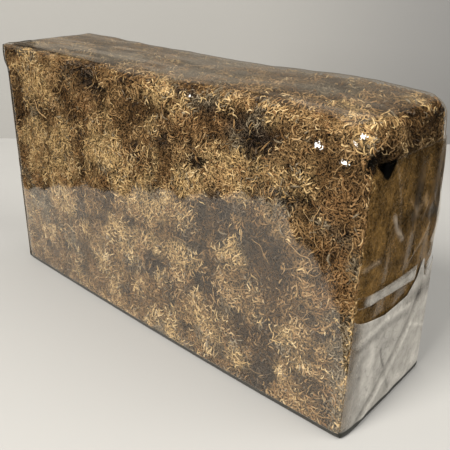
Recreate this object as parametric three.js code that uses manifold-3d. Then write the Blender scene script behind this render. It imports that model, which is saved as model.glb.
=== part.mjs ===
// A pressed block of dried sphagnum moss in a clear film wrapper.
//
// The moss is one compressed mass: a lumpy brick whose surface is covered with curled leafy
// strands, pressed flat where the wrapper holds them. The wrapper is one sheet, rolled round the
// four long sides with a lap seam on the back, and folded shut like a parcel at both ends.
//
// Millimetres, +Z up. X runs along the block, Y through its thickness, and the front face looks
// along -Y. The origin is on the floor, under the middle of the block's own box.
import * as THREE from "three";
import { mergeVertices } from "three/addons/utils/BufferGeometryUtils.js";
import Module from "manifold-3d";

const wasm = await Module();
wasm.setup();

// ---- driving dimensions -------------------------------------------------------------------
const LENGTH = 300;
const THICKNESS = 79;
const HEIGHT = 169;
const CRISP_RADIUS = 2.5; // of the edges that the block stands on, and of its left end's
const WORN_RADIUS = 15; // of the shoulder at the front right, where it is worn round
const WORN_FROM_HEIGHT = 0.76; // share of the height where the wear begins
const WORN_FULL_LENGTH = 0.87; // share of half the length by which it is at its full
const BACK_WEAR = 0.4; // share of the wear that reaches the back
const LEAST_RADIUS = 3; // of an edge of the form's inner layers
const FACE_CROWN = 3; // how far the two large faces bulge in the middle
const TOP_CROWN = 2;
const END_CROWN = 1.5;
const HUMP = 3; // how far the top rises towards the right
const HUMP_PLACE = 0.65; // share of half the length
const HUMP_REACH = 0.3;
const SAG = 8.5; // how far the front's foot stands out at the right, where the block has sagged
const BALANCE = 2.6; // how far it all lies further back, so that the origin is still the middle

const FILM_WALL = 0.6;
const WALL_SPANS = [12, 4, 8]; // of the film's grid, fine enough to follow the form
const FILM_GAP = 0.5; // air between the film and the highest strand
const FACET_SLACK = 3; // more of it on the round edges, in proportion to their turn
const SEAM_HEIGHT = 34; // of the lap seam on the back
const SEAM_LENGTH = 270;
const SEAM_SLOT = 0.5; // where the inner edge of the sheet ends, under the lap
const SLOT_LENGTH = 264;
const LAP_WIDTH = 10;
const LAP_GAP = 0.4;
const LAP_FOOT = 3; // height of the band by which the lap joins the sheet, above the slot
const FLAP_REACH = 64; // of a folded end flap, from its hinge
const FLAP_STEP = 0.5; // how far each folded layer stands above the one under it
const FLAP_MARGIN = 3; // from the block's edges to the flap's, so that it lies on the curve
const FLAP_LINES_ACROSS = [0, 0.08, 0.2, 0.6, 1]; // its grid, close together on the curves
const FLAP_LINES_UP = [0, 0.04, 0.1, 0.5, 0.9, 0.96, 1];

const LUMP = 1.6; // how deep the block's hollows lie under its lumps
const LUMP_WAVE = [13, 11]; // how slowly they come and go, along the block and up it
const LUMP_DRIFT = 29;
const END_RECESS = 4; // the ends sit back under the shoulder, clear of the film
const SHOULDER_START = 0.74; // share of the height where that overhang begins
const SHOULDER_FULL = 0.88;

const MAT_SPANS = [19, 11, 31]; // of the moss's grid, whose lines the strands follow
const MOST_STRANDS = 40; // lines up a face, its edges with them
const STRAND_WAVE = [6, 11]; // how slowly a strand rises, dives and sways
const STRAND_SWAY = 1.4;
const STRAND_RISE = 3.6; // from the valleys between the strands up to their backs
const STRAND_TOP = FILM_WALL + FILM_GAP; // depth of the highest strand's back
const SWING = 9; // how far all of them swing together, to and fro
const END_SWING = 4.5; // and on the narrow ends
const SWING_WAVE = 27;
const SWING_LINES = 8;

const CURL_SPACING = 60;
const CURL_LENGTH = [34, 50];
const CURL_HALF_WIDTH = [1.9, 2.6];
const CURL_TURN = [0.5, 0.9]; // at each of its bends, in radians
const CURL_RISE = 1.4; // from its middle to its back, and down to its two lower corners
const CURL_DEPTHS = [8, 2.6, 2.4, 2.6, 7]; // of its middle under the block's outer form
const SEED = 1;

const HALF = new THREE.Vector3(LENGTH / 2, THICKNESS / 2, HEIGHT / 2);
const ARC_MIDDLE = 0.586; // of the radius: in from the face by this, a round edge is 22.5 degrees on
const CRISP_LINES = [0, ARC_MIDDLE * CRISP_RADIUS, CRISP_RADIUS];
const WORN_LINES = [...CRISP_LINES, ARC_MIDDLE * WORN_RADIUS, WORN_RADIUS];
const FILM_LINES = [CRISP_LINES, WORN_LINES];
const MOSS_LINES = [[0, 4], [0, 4, 9, WORN_RADIUS]]; // coarser, because the moss isn't crisp

// ---- small helpers ------------------------------------------------------------------------
function seeded(seed) {
  let state = seed;
  return () => {
    state = (state + 0x6d2b79f5) | 0;
    let t = Math.imul(state ^ (state >>> 15), 1 | state);
    t = (t + Math.imul(t ^ (t >>> 7), 61 | t)) ^ t;
    return ((t ^ (t >>> 14)) >>> 0) / 4294967296;
  };
}

const { lerp, smoothstep, clamp } = THREE.MathUtils;
const WELD = 1e-3; // points closer than this are made one
const WELD_PASSES = 3;

// Joins a geometry's loose faces, moves its points by a function, and makes it a solid.
function moulded(geometry, place = (p) => p) {
  geometry.deleteAttribute("normal");
  geometry.deleteAttribute("uv");
  const joined = mergeVertices(geometry, WELD);
  const at = joined.getAttribute("position");
  for (let i = 0; i < at.count; i++) {
    at.setXYZ(i, ...place(new THREE.Vector3().fromBufferAttribute(at, i)));
  }
  const vertProperties = Float32Array.from(at.array);
  const triVerts = Uint32Array.from(joined.index.array);
  const solid = new wasm.Manifold(new wasm.Mesh({ numProp: 3, vertProperties, triVerts }));
  if (solid.volume() > 0) return solid;
  // The function mirrored it, so its faces are turned the right way round again.
  triVerts.reverse();
  return new wasm.Manifold(new wasm.Mesh({ numProp: 3, vertProperties, triVerts }));
}

// A solid's faces, with every point on the same fine grid, so that no two nearly meet.
function geometryOf(solid) {
  const mesh = solid.getMesh();
  const positions = mesh.vertProperties.map((value) => Math.round(value / WELD) * WELD);
  const geometry = new THREE.BufferGeometry();
  geometry.setAttribute("position", new THREE.BufferAttribute(positions, 3));
  geometry.setIndex(new THREE.BufferAttribute(mesh.triVerts, 1));
  return geometry;
}

// Joins solids in one. The specks and small pockets that crossing faces close off are left out,
// and so are those that welding the points pinches off.
function fused(solids) {
  let whole = wasm.Manifold.union(solids);
  for (let pass = 0; pass < WELD_PASSES; pass++) {
    const shells = moulded(geometryOf(whole)).decompose();
    whole = shells.reduce((kept, shell) => (shell.volume() > kept.volume() ? shell : kept));
  }
  return whole;
}

// ---- the wrapped block's outer form -------------------------------------------------------
// Everything is placed on one form: a box with rounded edges and slightly bulging faces. Points
// are worked out about the block's centre and raised to stand on its foot at the very end.

// The radius of the edges near a point: crisp, but for the worn shoulder.
function edgeRadius(p) {
  const up = smoothstep((p.z + HALF.z) / HEIGHT, WORN_FROM_HEIGHT, 1);
  const right = smoothstep(p.x / HALF.x, -1, WORN_FULL_LENGTH);
  const front = lerp(1, BACK_WEAR, smoothstep(p.y / HALF.y, -1, 1));
  return lerp(CRISP_RADIUS, WORN_RADIUS, up * right * front);
}

// The form under a point near it: the point moved straight onto the rounded box, then inwards
// by inset, and the direction that faces out there. Deep under a crisp edge it stays a little
// round, so that it doesn't turn inside out.
function onBox(p, inset) {
  const radius = Math.max(edgeRadius(p), inset + LEAST_RADIUS);
  const heart = new THREE.Vector3(
    clamp(p.x, radius - HALF.x, HALF.x - radius),
    clamp(p.y, radius - HALF.y, HALF.y - radius),
    clamp(p.z, radius - HALF.z, HALF.z - radius),
  );
  const outward = p.clone().sub(heart).normalize();
  return { point: heart.addScaledVector(outward, radius - inset), outward };
}

// Lets the faces bulge, and the front lean out to its foot. The foot stays flat, so that the
// block stands still.
function crowned(q) {
  const [u, v, w] = [q.x / HALF.x, q.y / HALF.y, q.z / HALF.z];
  const belly = (a, b) => Math.max(0, 1 - a * a) * Math.max(0, 1 - b * b);
  const hump = HUMP * Math.exp(-(((u - HUMP_PLACE) / HUMP_REACH) ** 2));
  const sag = SAG * Math.sin(((u + 1) * Math.PI) / 4) * ((1 - w) / 2) * ((1 - v) / 2);
  return new THREE.Vector3(
    q.x + END_CROWN * u * belly(v, w),
    q.y + FACE_CROWN * v * belly(u, w) - sag,
    q.z + ((w + 1) / 2) * (TOP_CROWN * belly(u, v) + hump),
  );
}

// The moss stops short of the film at both ends, below an overhanging shoulder.
function setBack(q) {
  const up = (q.z + HALF.z) / (2 * HALF.z);
  const end = Math.abs(q.x / HALF.x) ** 10 * Math.sign(q.x);
  return q.setX(q.x - END_RECESS * end * (1 - smoothstep(up, SHOULDER_START, SHOULDER_FULL)));
}

// A point that would reach the film is pressed back to just clear of it: a little more on the
// round edges, where the film's flat facets cut inside the curve.
function pressed(point) {
  const { outward } = onBox(point, 0);
  const bend = 1 - Math.max(...outward.toArray().map(Math.abs));
  const { point: limit } = onBox(point, FILM_WALL + FILM_GAP + FACET_SLACK * bend);
  return point.clone().sub(limit).dot(outward) > 0 ? limit : point;
}

const standing = (q) => q.set(q.x, q.y + BALANCE, q.z + HALF.z);
const filmPoint = (p, inset) => standing(crowned(onBox(p, inset).point));
const mossPoint = (p) => standing(setBack(crowned(pressed(p))));

// Grid lines along one side: close together round its two edges, then even. An edge is a list of
// how far each of its lines lies in from the face.
function stations(half, low, high, spans) {
  const [start, stop] = [low.at(-1) - half, half - high.at(-1)];
  const between = Array.from({ length: spans - 1 }, (_, i) => lerp(start, stop, (i + 1) / spans));
  return [...low.map((d) => d - half), ...between, ...high.map((d) => half - d).reverse()];
}

// The grid line that an even share of the way across belongs to.
const lineAt = (lines, share) => lines[Math.round(share * (lines.length - 1))];

// A closed grid over the whole form, with its points placed by a function. Its lines at crisp and
// at worn edges are given.
function wrappedGrid(spans, [crisp, worn], place) {
  const lines = [
    stations(HALF.x, crisp, worn, spans[0]),
    stations(HALF.y, worn, crisp, spans[1]),
    stations(HALF.z, crisp, worn, spans[2]),
  ];
  const box = new THREE.BoxGeometry(1, 1, 1, ...lines.map((line) => line.length - 1));
  return moulded(box, (p) => {
    const at = p.toArray().map((share, i) => Math.round((share + 0.5) * (lines[i].length - 1)));
    return place(new THREE.Vector3(...at.map((line, i) => lines[i][line])), at);
  });
}

// ---- moss ---------------------------------------------------------------------------------
// The block's lumps: slow waves, worked out from the place alone.
function lump(p) {
  const drift = 2 * Math.sin(p.z / LUMP_DRIFT);
  const wave = Math.sin(p.x / LUMP_WAVE[0] + drift) * Math.cos(p.z / LUMP_WAVE[1]);
  return LUMP * (0.5 + 0.5 * wave);
}

// 1 over the middle of a side, and 0 at its two edges.
const within = (at, half) => smoothstep(half - Math.abs(at), 0, WORN_RADIUS);

// The matted strands, side by side and larger than life. Each follows one grid line: it rises out
// of the block and dives under its neighbours, sways from side to side, and swings with the rest.
function mat(random) {
  const strands = Array.from({ length: 2 * MOST_STRANDS }, () => ({
    rise: lerp(...STRAND_WAVE, random()),
    sway: lerp(...STRAND_WAVE, random()),
    phase: 2 * Math.PI * random(),
  }));
  return wrappedGrid(MAT_SPANS, MOSS_LINES, (p, [, across, up]) => {
    const onLongFace = Math.abs(p.y) === HALF.y;
    const onEnd = Math.abs(p.x) === HALF.x && !onLongFace;
    const line = onLongFace ? up : across;
    const along = onEnd ? p.z : p.x;
    const { rise, sway, phase } = strands[p.y + p.z > 0 ? line + MOST_STRANDS : line];
    const swing = Math.sin(along / SWING_WAVE + line / SWING_LINES);
    const shift = STRAND_SWAY * Math.sin(along / sway + phase) + swing * (onEnd ? END_SWING : SWING);
    if (onLongFace) p.z += shift * within(p.z, HALF.z);
    else p.y += shift * within(p.y, HALF.y);
    const dive = line % 2 ? 0.5 - 0.5 * Math.sin(along / rise + phase) : 1;
    return mossPoint(onBox(p, STRAND_TOP + STRAND_RISE * dive + lump(p)).point);
  });
}

// Root places for the loose curls, one in each cell of a grid on each of the six faces.
function roots(random) {
  const faces = [
    ["x", "z", "y"],
    ["x", "y", "z"],
    ["y", "z", "x"],
  ];
  const found = [];
  for (const [a, b, fixed] of faces) {
    const across = Math.round((2 * HALF[a]) / CURL_SPACING);
    const down = Math.round((2 * HALF[b]) / CURL_SPACING);
    for (let i = 0; i < 2 * across * down; i++) {
      const p = new THREE.Vector3();
      p[a] = lerp(-HALF[a], HALF[a], ((i % across) + random()) / across);
      p[b] = lerp(-HALF[b], HALF[b], ((Math.floor(i / across) % down) + random()) / down);
      p[fixed] = i % 2 ? HALF[fixed] : -HALF[fixed];
      found.push(p);
    }
  }
  return found;
}

// One loose curl over the mat: three-sided, its root sunk well in, then bending round just under
// the film to a tip that is tucked in again.
function curl(root, random) {
  const turn = (random() < 0.5 ? -1 : 1) * lerp(...CURL_TURN, random());
  const half = lerp(...CURL_HALF_WIDTH, random());
  const step = lerp(...CURL_LENGTH, random()) / (CURL_DEPTHS.length - 1);
  let { point: here, outward } = onBox(root, 0);
  const along = new THREE.Vector3(-outward.y, outward.x, 0.2).cross(outward).cross(outward);
  along.normalize().applyAxisAngle(outward, 2 * Math.PI * random());
  const rings = CURL_DEPTHS.map((depth) => {
    const aside = new THREE.Vector3().crossVectors(outward, along);
    const ring = { ...onBox(here, depth), aside };
    ({ point: here, outward } = onBox(here.clone().addScaledVector(along, step), 0));
    along.applyAxisAngle(outward, turn);
    along.addScaledVector(outward, -along.dot(outward)).normalize();
    return ring;
  });

  // A cone's sections shrink evenly to its tip, and are brought back to the curl's full width.
  const spike = new THREE.ConeGeometry(1, 1, 3, rings.length - 1);
  return moulded(spike, (p) => {
    const { point, outward: up, aside } = lineAt(rings, p.y + 0.5);
    const size = Math.hypot(p.x, p.z);
    const [across, over] = size > WELD ? [(half * p.x) / size, (CURL_RISE * p.z) / size] : [0, 0];
    return mossPoint(point.clone().addScaledVector(aside, across).addScaledVector(up, over));
  });
}

function mossBlock() {
  const random = seeded(SEED);
  return fused([mat(random), ...roots(random).map((root) => curl(root, random))]);
}

// ---- film ---------------------------------------------------------------------------------
// A solid running along X over the back face. Its section is a list of [height, inset].
function backStrip(section, length) {
  const outline = new THREE.Shape(section.map((corner) => new THREE.Vector2(...corner)));
  const bar = new THREE.ExtrudeGeometry(outline, { depth: 1, steps: 10, bevelEnabled: false });
  return moulded(bar, (p) => {
    return filmPoint(new THREE.Vector3((p.z - 0.5) * length, HALF.y, p.x - HALF.z), p.y);
  });
}

// The lap seam's free lip, with its foot sunk in the wall above the slot it covers.
function lap() {
  const lip = SEAM_HEIGHT - LAP_WIDTH;
  const foot = SEAM_HEIGHT + LAP_FOOT / 2;
  const outer = -(LAP_GAP + FILM_WALL);
  return backStrip(
    [
      [lip, -LAP_GAP],
      [foot, -LAP_GAP],
      [foot, FILM_WALL / 2],
      [foot + LAP_FOOT, FILM_WALL / 2],
      [foot + LAP_FOOT, outer],
      [lip, outer],
    ],
    SEAM_LENGTH,
  );
}

// One end flap: a trapezoid hinged on an upright edge, its other edges running in at 45 degrees.
// end and side are +1 or -1, and layer counts the folds it stands on.
function endFlap(end, side, layer) {
  const [across, up] = [FLAP_LINES_ACROSS, FLAP_LINES_UP];
  const sheet = new THREE.BoxGeometry(1, 1, 1, across.length - 1, up.length - 1, 1);
  return moulded(sheet, (p) => {
    const reach = FLAP_REACH * lineAt(across, p.x + 0.5);
    const y = side * (HALF.y - FLAP_MARGIN - reach);
    const low = FLAP_MARGIN + reach;
    const z = lerp(low, HEIGHT - low, lineAt(up, p.y + 0.5)) - HALF.z;
    const inset = p.z < 0 ? FILM_WALL / 2 : -FLAP_STEP * layer;
    return filmPoint(new THREE.Vector3(end * HALF.x, y, z), inset);
  });
}

function filmWrap() {
  const wall = (inset) => wrappedGrid(WALL_SPANS, FILM_LINES, (p) => filmPoint(p, inset));
  const slot = backStrip(
    [
      [SEAM_HEIGHT - SEAM_SLOT / 2, -FILM_WALL],
      [SEAM_HEIGHT + SEAM_SLOT / 2, -FILM_WALL],
      [SEAM_HEIGHT + SEAM_SLOT / 2, 2 * FILM_WALL],
      [SEAM_HEIGHT - SEAM_SLOT / 2, 2 * FILM_WALL],
    ],
    SLOT_LENGTH,
  );
  const flaps = [-1, 1].flatMap((end) => [endFlap(end, 1, 1), endFlap(end, -1, 2)]);
  const sleeve = wall(0).subtract(wall(FILM_WALL)).subtract(slot);
  return fused([sleeve, lap(), ...flaps]);
}

// ---- the object ---------------------------------------------------------------------------
const mossStraw = new THREE.MeshStandardMaterial({ color: 0x9b7b4f, roughness: 0.95, metalness: 0 });
const clearFilm = new THREE.MeshStandardMaterial({
  color: 0xdedbd2,
  roughness: 0.12,
  metalness: 0,
  transparent: true,
  opacity: 0.25,
});

function named(name, solid, material) {
  const mesh = new THREE.Mesh(geometryOf(solid), material);
  mesh.name = name;
  return mesh;
}

const block = new THREE.Group();
block.add(named("moss_block", mossBlock(), mossStraw));
block.add(named("film_wrap", filmWrap(), clearFilm));

export default block;
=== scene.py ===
# %% [markdown]
# A block of dried sphagnum moss, pressed into a brick and wrapped tightly in clear film. What the
# eye reads is not a brick but thousands of dead moss branches, curled round each other and dark
# between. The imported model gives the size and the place; everything here is laid on its surface.

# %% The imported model
import math

import bmesh
import bpy
import numpy as np
from mathutils import Matrix, Vector
from mathutils.kdtree import KDTree


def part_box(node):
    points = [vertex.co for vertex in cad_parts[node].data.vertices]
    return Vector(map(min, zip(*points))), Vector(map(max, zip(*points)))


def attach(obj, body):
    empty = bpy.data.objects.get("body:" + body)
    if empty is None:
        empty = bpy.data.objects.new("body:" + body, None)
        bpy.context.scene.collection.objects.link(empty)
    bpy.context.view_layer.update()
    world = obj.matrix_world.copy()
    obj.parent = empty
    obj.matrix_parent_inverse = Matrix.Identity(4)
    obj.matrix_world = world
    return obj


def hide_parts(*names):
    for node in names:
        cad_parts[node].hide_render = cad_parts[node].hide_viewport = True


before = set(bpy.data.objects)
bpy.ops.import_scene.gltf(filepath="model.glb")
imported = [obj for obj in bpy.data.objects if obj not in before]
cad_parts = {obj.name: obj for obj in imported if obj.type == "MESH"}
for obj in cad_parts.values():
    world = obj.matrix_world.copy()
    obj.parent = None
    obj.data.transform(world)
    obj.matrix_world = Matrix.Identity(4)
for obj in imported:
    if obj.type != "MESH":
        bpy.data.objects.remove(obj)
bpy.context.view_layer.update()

moss_low, moss_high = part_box("moss_block")
film_low, film_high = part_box("film_wrap")
print("moss block, mm:", [round(1000 * size) for size in moss_high - moss_low])
print("film wrap, mm:", [round(1000 * size) for size in film_high - film_low])

# %% [markdown]
# Lengths below are in millimetres, because that is how a block of moss is measured. A mesh is
# turned into metres at the last moment, when its points are written. Each random draw comes from
# a generator with its own seed, so the block grows the same way on every run.

# %% Driving sizes of the block
MM = 0.001
LENGTH = 300.0
THICKNESS = 79.0
HEIGHT = 169.0
HALF = np.array((LENGTH, THICKNESS, HEIGHT)) / 2
TINY = 1e-9
# Edges: crisp, but worn round at the front right shoulder
CRISP_RADIUS = 2.5
WORN_RADIUS = 15.0
WORN_FROM_HEIGHT = 0.76
WORN_FULL_LENGTH = 0.87
BACK_WEAR = 0.65
# Faces: swollen in their middles, with two humps on the top and a front that sags to its foot
END_CROWN = 1.5
FACE_CROWN = 3.0
TOP_CROWN = 2.0
HUMPS = ((0.65, 0.3, 3.0), (-0.9, 0.3, 1.6))  # place and reach in half lengths, rise in mm
SAG = 8.5
BALANCE = 2.6
# Ends: an ear at the top of the left one, and moss that stands back from the folded film
LEFT_EAR = 4.2
LEFT_EAR_HEIGHT = (0.89, 0.94)
LEFT_EAR_REACH = (-0.85, -1.0)
RIGHT_RECESS = 5.0
LEFT_RECESS = 1.0
RECESS_POWER = 10
RECESS_LEAST = 0.06
RECESS_FRONT = (-26.0, -10.0)
RECESS_BACK = (41.0, 28.0)
SHOULDER = (0.83, 0.89)
print("block", LENGTH, "x", THICKNESS, "x", HEIGHT, "mm")


def smooth(low, high, value):
    """0 below low, 1 above high, and a smooth rise between."""
    share = np.clip((value - low) / (high - low), 0, 1)
    return share * share * (3 - 2 * share)


# %% [markdown]
# Shaping this by hand would give one lumpy mesh, but the moss, its bed and the film all need the
# same surface. So the block is a formula: a point is put on a plain rounded block, and then the
# faces swell, the front sags and the ends sink. Whatever goes through it fits the rest.

# %% The block's surface as a formula
def edge_radius(points):
    """Crisp edges, but for the shoulder at the front right, which is worn round."""
    right, back, up = (points / HALF).T
    wear = smooth(WORN_FROM_HEIGHT, 1, (up + 1) / 2) * smooth(-1, WORN_FULL_LENGTH, right)
    wear *= 1 - (1 - BACK_WEAR) * smooth(-1, 1, back)
    return (CRISP_RADIUS + (WORN_RADIUS - CRISP_RADIUS) * wear)[:, None]


def on_skin(points):
    """The nearest points on the plain rounded block round the origin, and the way out there."""
    radius = edge_radius(points)
    heart = np.clip(points, radius - HALF, HALF - radius)
    away = points - heart
    out = away / np.maximum(np.linalg.norm(away, axis=1, keepdims=True), TINY)
    return heart + out * radius, out


def belly(a, b):
    """1 in the middle of a face and 0 at its edges."""
    return np.maximum(0, 1 - a * a) * np.maximum(0, 1 - b * b)


def crowned(points):
    """Swells the faces a little, lets the front sag to its foot, and stands it on the floor."""
    u, v, w = (points / HALF).T
    up = (w + 1) / 2
    swollen = points.copy()
    swollen[:, 0] += END_CROWN * u * belly(v, w)
    swollen[:, 0] -= LEFT_EAR * smooth(*LEFT_EAR_HEIGHT, up) * smooth(*LEFT_EAR_REACH, u)
    swollen[:, 1] += FACE_CROWN * v * belly(u, w) + BALANCE
    swollen[:, 1] -= SAG * np.sin((u + 1) * math.pi / 4) * (1 - up) * (1 - v) / 2
    swollen[:, 2] += up * TOP_CROWN * belly(u, v)
    for place, reach, rise in HUMPS:
        swollen[:, 2] += up * rise * np.exp(-(((u - place) / reach) ** 2))
    swollen[:, 2] += HALF[2]
    return swollen


def set_back(points):
    """Draws the moss in from the ends below the shoulder, where the folded film stands off it."""
    moved = points.copy()
    right = points[:, 0] > 0
    y = points[:, 1]
    hollow = RECESS_LEAST + (1 - RECESS_LEAST) * smooth(*RECESS_FRONT, y) * smooth(*RECESS_BACK, y)
    recess = np.where(right, RIGHT_RECESS * hollow, LEFT_RECESS)
    near_end = np.abs(points[:, 0] / HALF[0]) ** RECESS_POWER
    below = 1 - smooth(*SHOULDER, points[:, 2] / HEIGHT)
    moved[:, 0] -= recess * np.sign(points[:, 0]) * near_end * below
    return moved


top_middle = crowned(np.array(((0.0, 0.0, HALF[2]),)))[0]
print("the middle of the top is", round(top_middle[2], 1), "mm up")

# %% [markdown]
# The camera stands near the front right corner, a little above the block, and looks down at it
# across the long face. Its turn is written as the three angles a tripod head has.

# %% Camera
CAMERA_SPOT = Vector((274.2, -278.9, 242.4)) * MM
CAMERA_YAW = -0.707
CAMERA_PITCH = 0.401
CAMERA_ROLL = 0.016
SENSOR_MM = 36.0
IMAGE_PIXELS = 450.0
FOCAL_PIXELS = 634.05
CENTRE_PIXEL = (233.2, 206.1)
NEAREST = 0.01


def tripod(yaw, pitch, roll):
    """The camera's right, up and forward directions."""
    forward = Vector((
        math.sin(yaw) * math.cos(pitch),
        math.cos(yaw) * math.cos(pitch),
        -math.sin(pitch),
    ))
    level = Vector((math.cos(yaw), -math.sin(yaw), 0))
    rise = level.cross(forward)
    right = level * math.cos(roll) + rise * math.sin(roll)
    up = rise * math.cos(roll) - level * math.sin(roll)
    return right, up, forward


def add_camera():
    """The camera at its spot, its lens and shift worked out from pixels."""
    right, up, forward = tripod(CAMERA_YAW, CAMERA_PITCH, CAMERA_ROLL)
    data = bpy.data.cameras.new("camera")
    data.sensor_width = SENSOR_MM
    data.lens = SENSOR_MM * FOCAL_PIXELS / IMAGE_PIXELS
    data.shift_x = (IMAGE_PIXELS / 2 - CENTRE_PIXEL[0]) / IMAGE_PIXELS
    data.shift_y = (CENTRE_PIXEL[1] - IMAGE_PIXELS / 2) / IMAGE_PIXELS
    data.clip_start = NEAREST
    camera = bpy.data.objects.new("camera", data)
    bpy.context.scene.collection.objects.link(camera)
    turn = Matrix((right, up, -forward)).transposed().to_4x4()
    camera.matrix_world = Matrix.Translation(CAMERA_SPOT) @ turn
    bpy.context.scene.camera = camera
    return camera


camera = add_camera()
print("lens", round(camera.data.lens, 1), "mm")

# %% [markdown]
# A finish is a small network of nodes. Wiring one by hand hides the sum it works out, so a wire
# gets the usual signs instead: `1 - mask * 0.4` adds the two Math nodes that it takes. Every other
# node comes from one call, with its settings first and then what its sockets are fed.

# %% A wire
class Wire:
    """A number or a colour on its way through a finish's nodes."""

    def __init__(self, finish, socket):
        self.finish = finish
        self.socket = socket

    def maths(self, operation, *values):
        return self.finish.node("ShaderNodeMath", {"operation": operation}, dict(enumerate(values)))

    def __add__(self, other):
        return self.maths("ADD", self, other)

    __radd__ = __add__

    def __mul__(self, other):
        return self.maths("MULTIPLY", self, other)

    __rmul__ = __mul__

    def __sub__(self, other):
        return self.maths("SUBTRACT", self, other)

    def __rsub__(self, other):
        return self.maths("SUBTRACT", other, self)

    def __pow__(self, other):
        return self.maths("POWER", self, other)

    def __abs__(self):
        return self.maths("ABSOLUTE", self)

    def between(self, low, high):
        """0 below low and 1 above high."""
        settings = {"interpolation_type": "SMOOTHSTEP"}
        return self.finish.node(
            "ShaderNodeMapRange", settings, {"Value": self, "From Min": low, "From Max": high}
        )

    def clamped(self):
        return self.finish.node("ShaderNodeClamp", {}, {"Value": self})


# %% A finish that makes nodes
COLOUR_A, COLOUR_B, COLOUR_RESULT = 6, 7, 2  # the colour sockets of a Mix node


class Finish:
    """A material that is written as sums on wires."""

    def __init__(self, name):
        self.material = bpy.data.materials.new(name)
        self.material.use_nodes = True
        self.tree = self.material.node_tree
        self.tree.nodes.clear()

    def node(self, kind, settings, inputs, output=0):
        node = self.tree.nodes.new(kind)
        for name, value in settings.items():
            if name == "stops":
                set_stops(node.color_ramp, value)
            else:
                setattr(node, name, value)
        for name, value in inputs.items():
            if isinstance(value, Wire):
                self.tree.links.new(value.socket, node.inputs[name])
            else:
                node.inputs[name].default_value = value
        return Wire(self, node.outputs[output])

    def place(self, scale=(1, 1, 1), shift=0.0):
        """Where a point lies on the object, in millimetres times scale, moved along by shift."""
        spot = self.node("ShaderNodeTexCoord", {}, {}, "Object")
        stretch = tuple(part / MM for part in scale)
        inputs = {"Vector": spot, "Scale": stretch, "Location": (shift, -shift, shift)}
        return self.node("ShaderNodeMapping", {}, inputs)

    def axes(self):
        """The three coordinates of a point, in millimetres."""
        kind = "ShaderNodeSeparateXYZ"
        place = self.place()
        return [self.node(kind, {}, {"Vector": place}, axis) for axis in "XYZ"]

    def noise(self, size, detail=2.0, stretch=(1, 1, 1), shift=0.0):
        """A cloudy pattern from 0 to 1 whose patches are about size millimetres."""
        place = self.place(tuple(part / size for part in stretch), shift)
        inputs = {"Vector": place, "Scale": 1.0, "Detail": detail}
        return self.node("ShaderNodeTexNoise", {}, inputs, "Fac")

    def threads(self, size, sharpness, shift=0.0):
        """Thin winding lines, 1 along their middles: where a cloudy pattern crosses its mean."""
        away = self.noise(size, 1.0, shift=shift) - 0.5
        return (1 - abs(away) * sharpness).clamped()

    def attribute(self, name, output="Fac"):
        return self.node("ShaderNodeAttribute", {"attribute_name": name}, {}, output)

    def ramp(self, wire, stops):
        return self.node("ShaderNodeValToRGB", {"stops": stops}, {"Fac": wire}, "Color")

    def blend(self, share, first, second):
        """first where share is 0 and second where it is 1."""
        inputs = {"Factor": share, COLOUR_A: first, COLOUR_B: second}
        return self.node("ShaderNodeMix", {"data_type": "RGBA"}, inputs, COLOUR_RESULT)

    def tinted(self, colour, wire):
        """A colour made darker or lighter by a number."""
        settings = {"data_type": "RGBA", "blend_type": "MULTIPLY"}
        grey = self.node("ShaderNodeCombineColor", {}, {"Red": wire, "Green": wire, "Blue": wire})
        inputs = {"Factor": 1.0, COLOUR_A: colour, COLOUR_B: grey}
        return self.node("ShaderNodeMix", settings, inputs, COLOUR_RESULT)

    def bump(self, height, strength, distance):
        """A normal that follows a height, distance millimetres high where the height is 1."""
        inputs = {"Strength": strength, "Distance": distance * MM, "Height": height}
        return self.node("ShaderNodeBump", {}, inputs)

    def shown(self, shader):
        """The finished material, with this shader on its surface."""
        output = self.tree.nodes.new("ShaderNodeOutputMaterial")
        self.tree.links.new(shader.socket, output.inputs["Surface"])
        return self.material


def set_stops(ramp, stops):
    """A colour ramp's stops as (place, colour) pairs."""
    for _ in range(len(stops) - 2):
        ramp.elements.new(0.5)
    for element, (spot, colour) in zip(ramp.elements, stops):
        element.position = spot
        element.color = (*colour, 1)


# %% [markdown]
# A moss branch could be a curve with a bevel, a hair or a mesh. Curves and hairs are lost when the
# part is exported, so a branch is a mesh: a thin three-sided rod with blunt ends, a little thicker
# and thinner along its length where the leaves sit. It is modelled once, straight, from 0 to 1
# along X. Three more patterns go with it: a longer branch, a plain stem, and a flat shred of leaf.

# %% Modelling a straight branch
CORNERS = 3
FACING_ALONG = 0.99


def deselect_all():
    bpy.ops.object.select_all(action="DESELECT")


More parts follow.
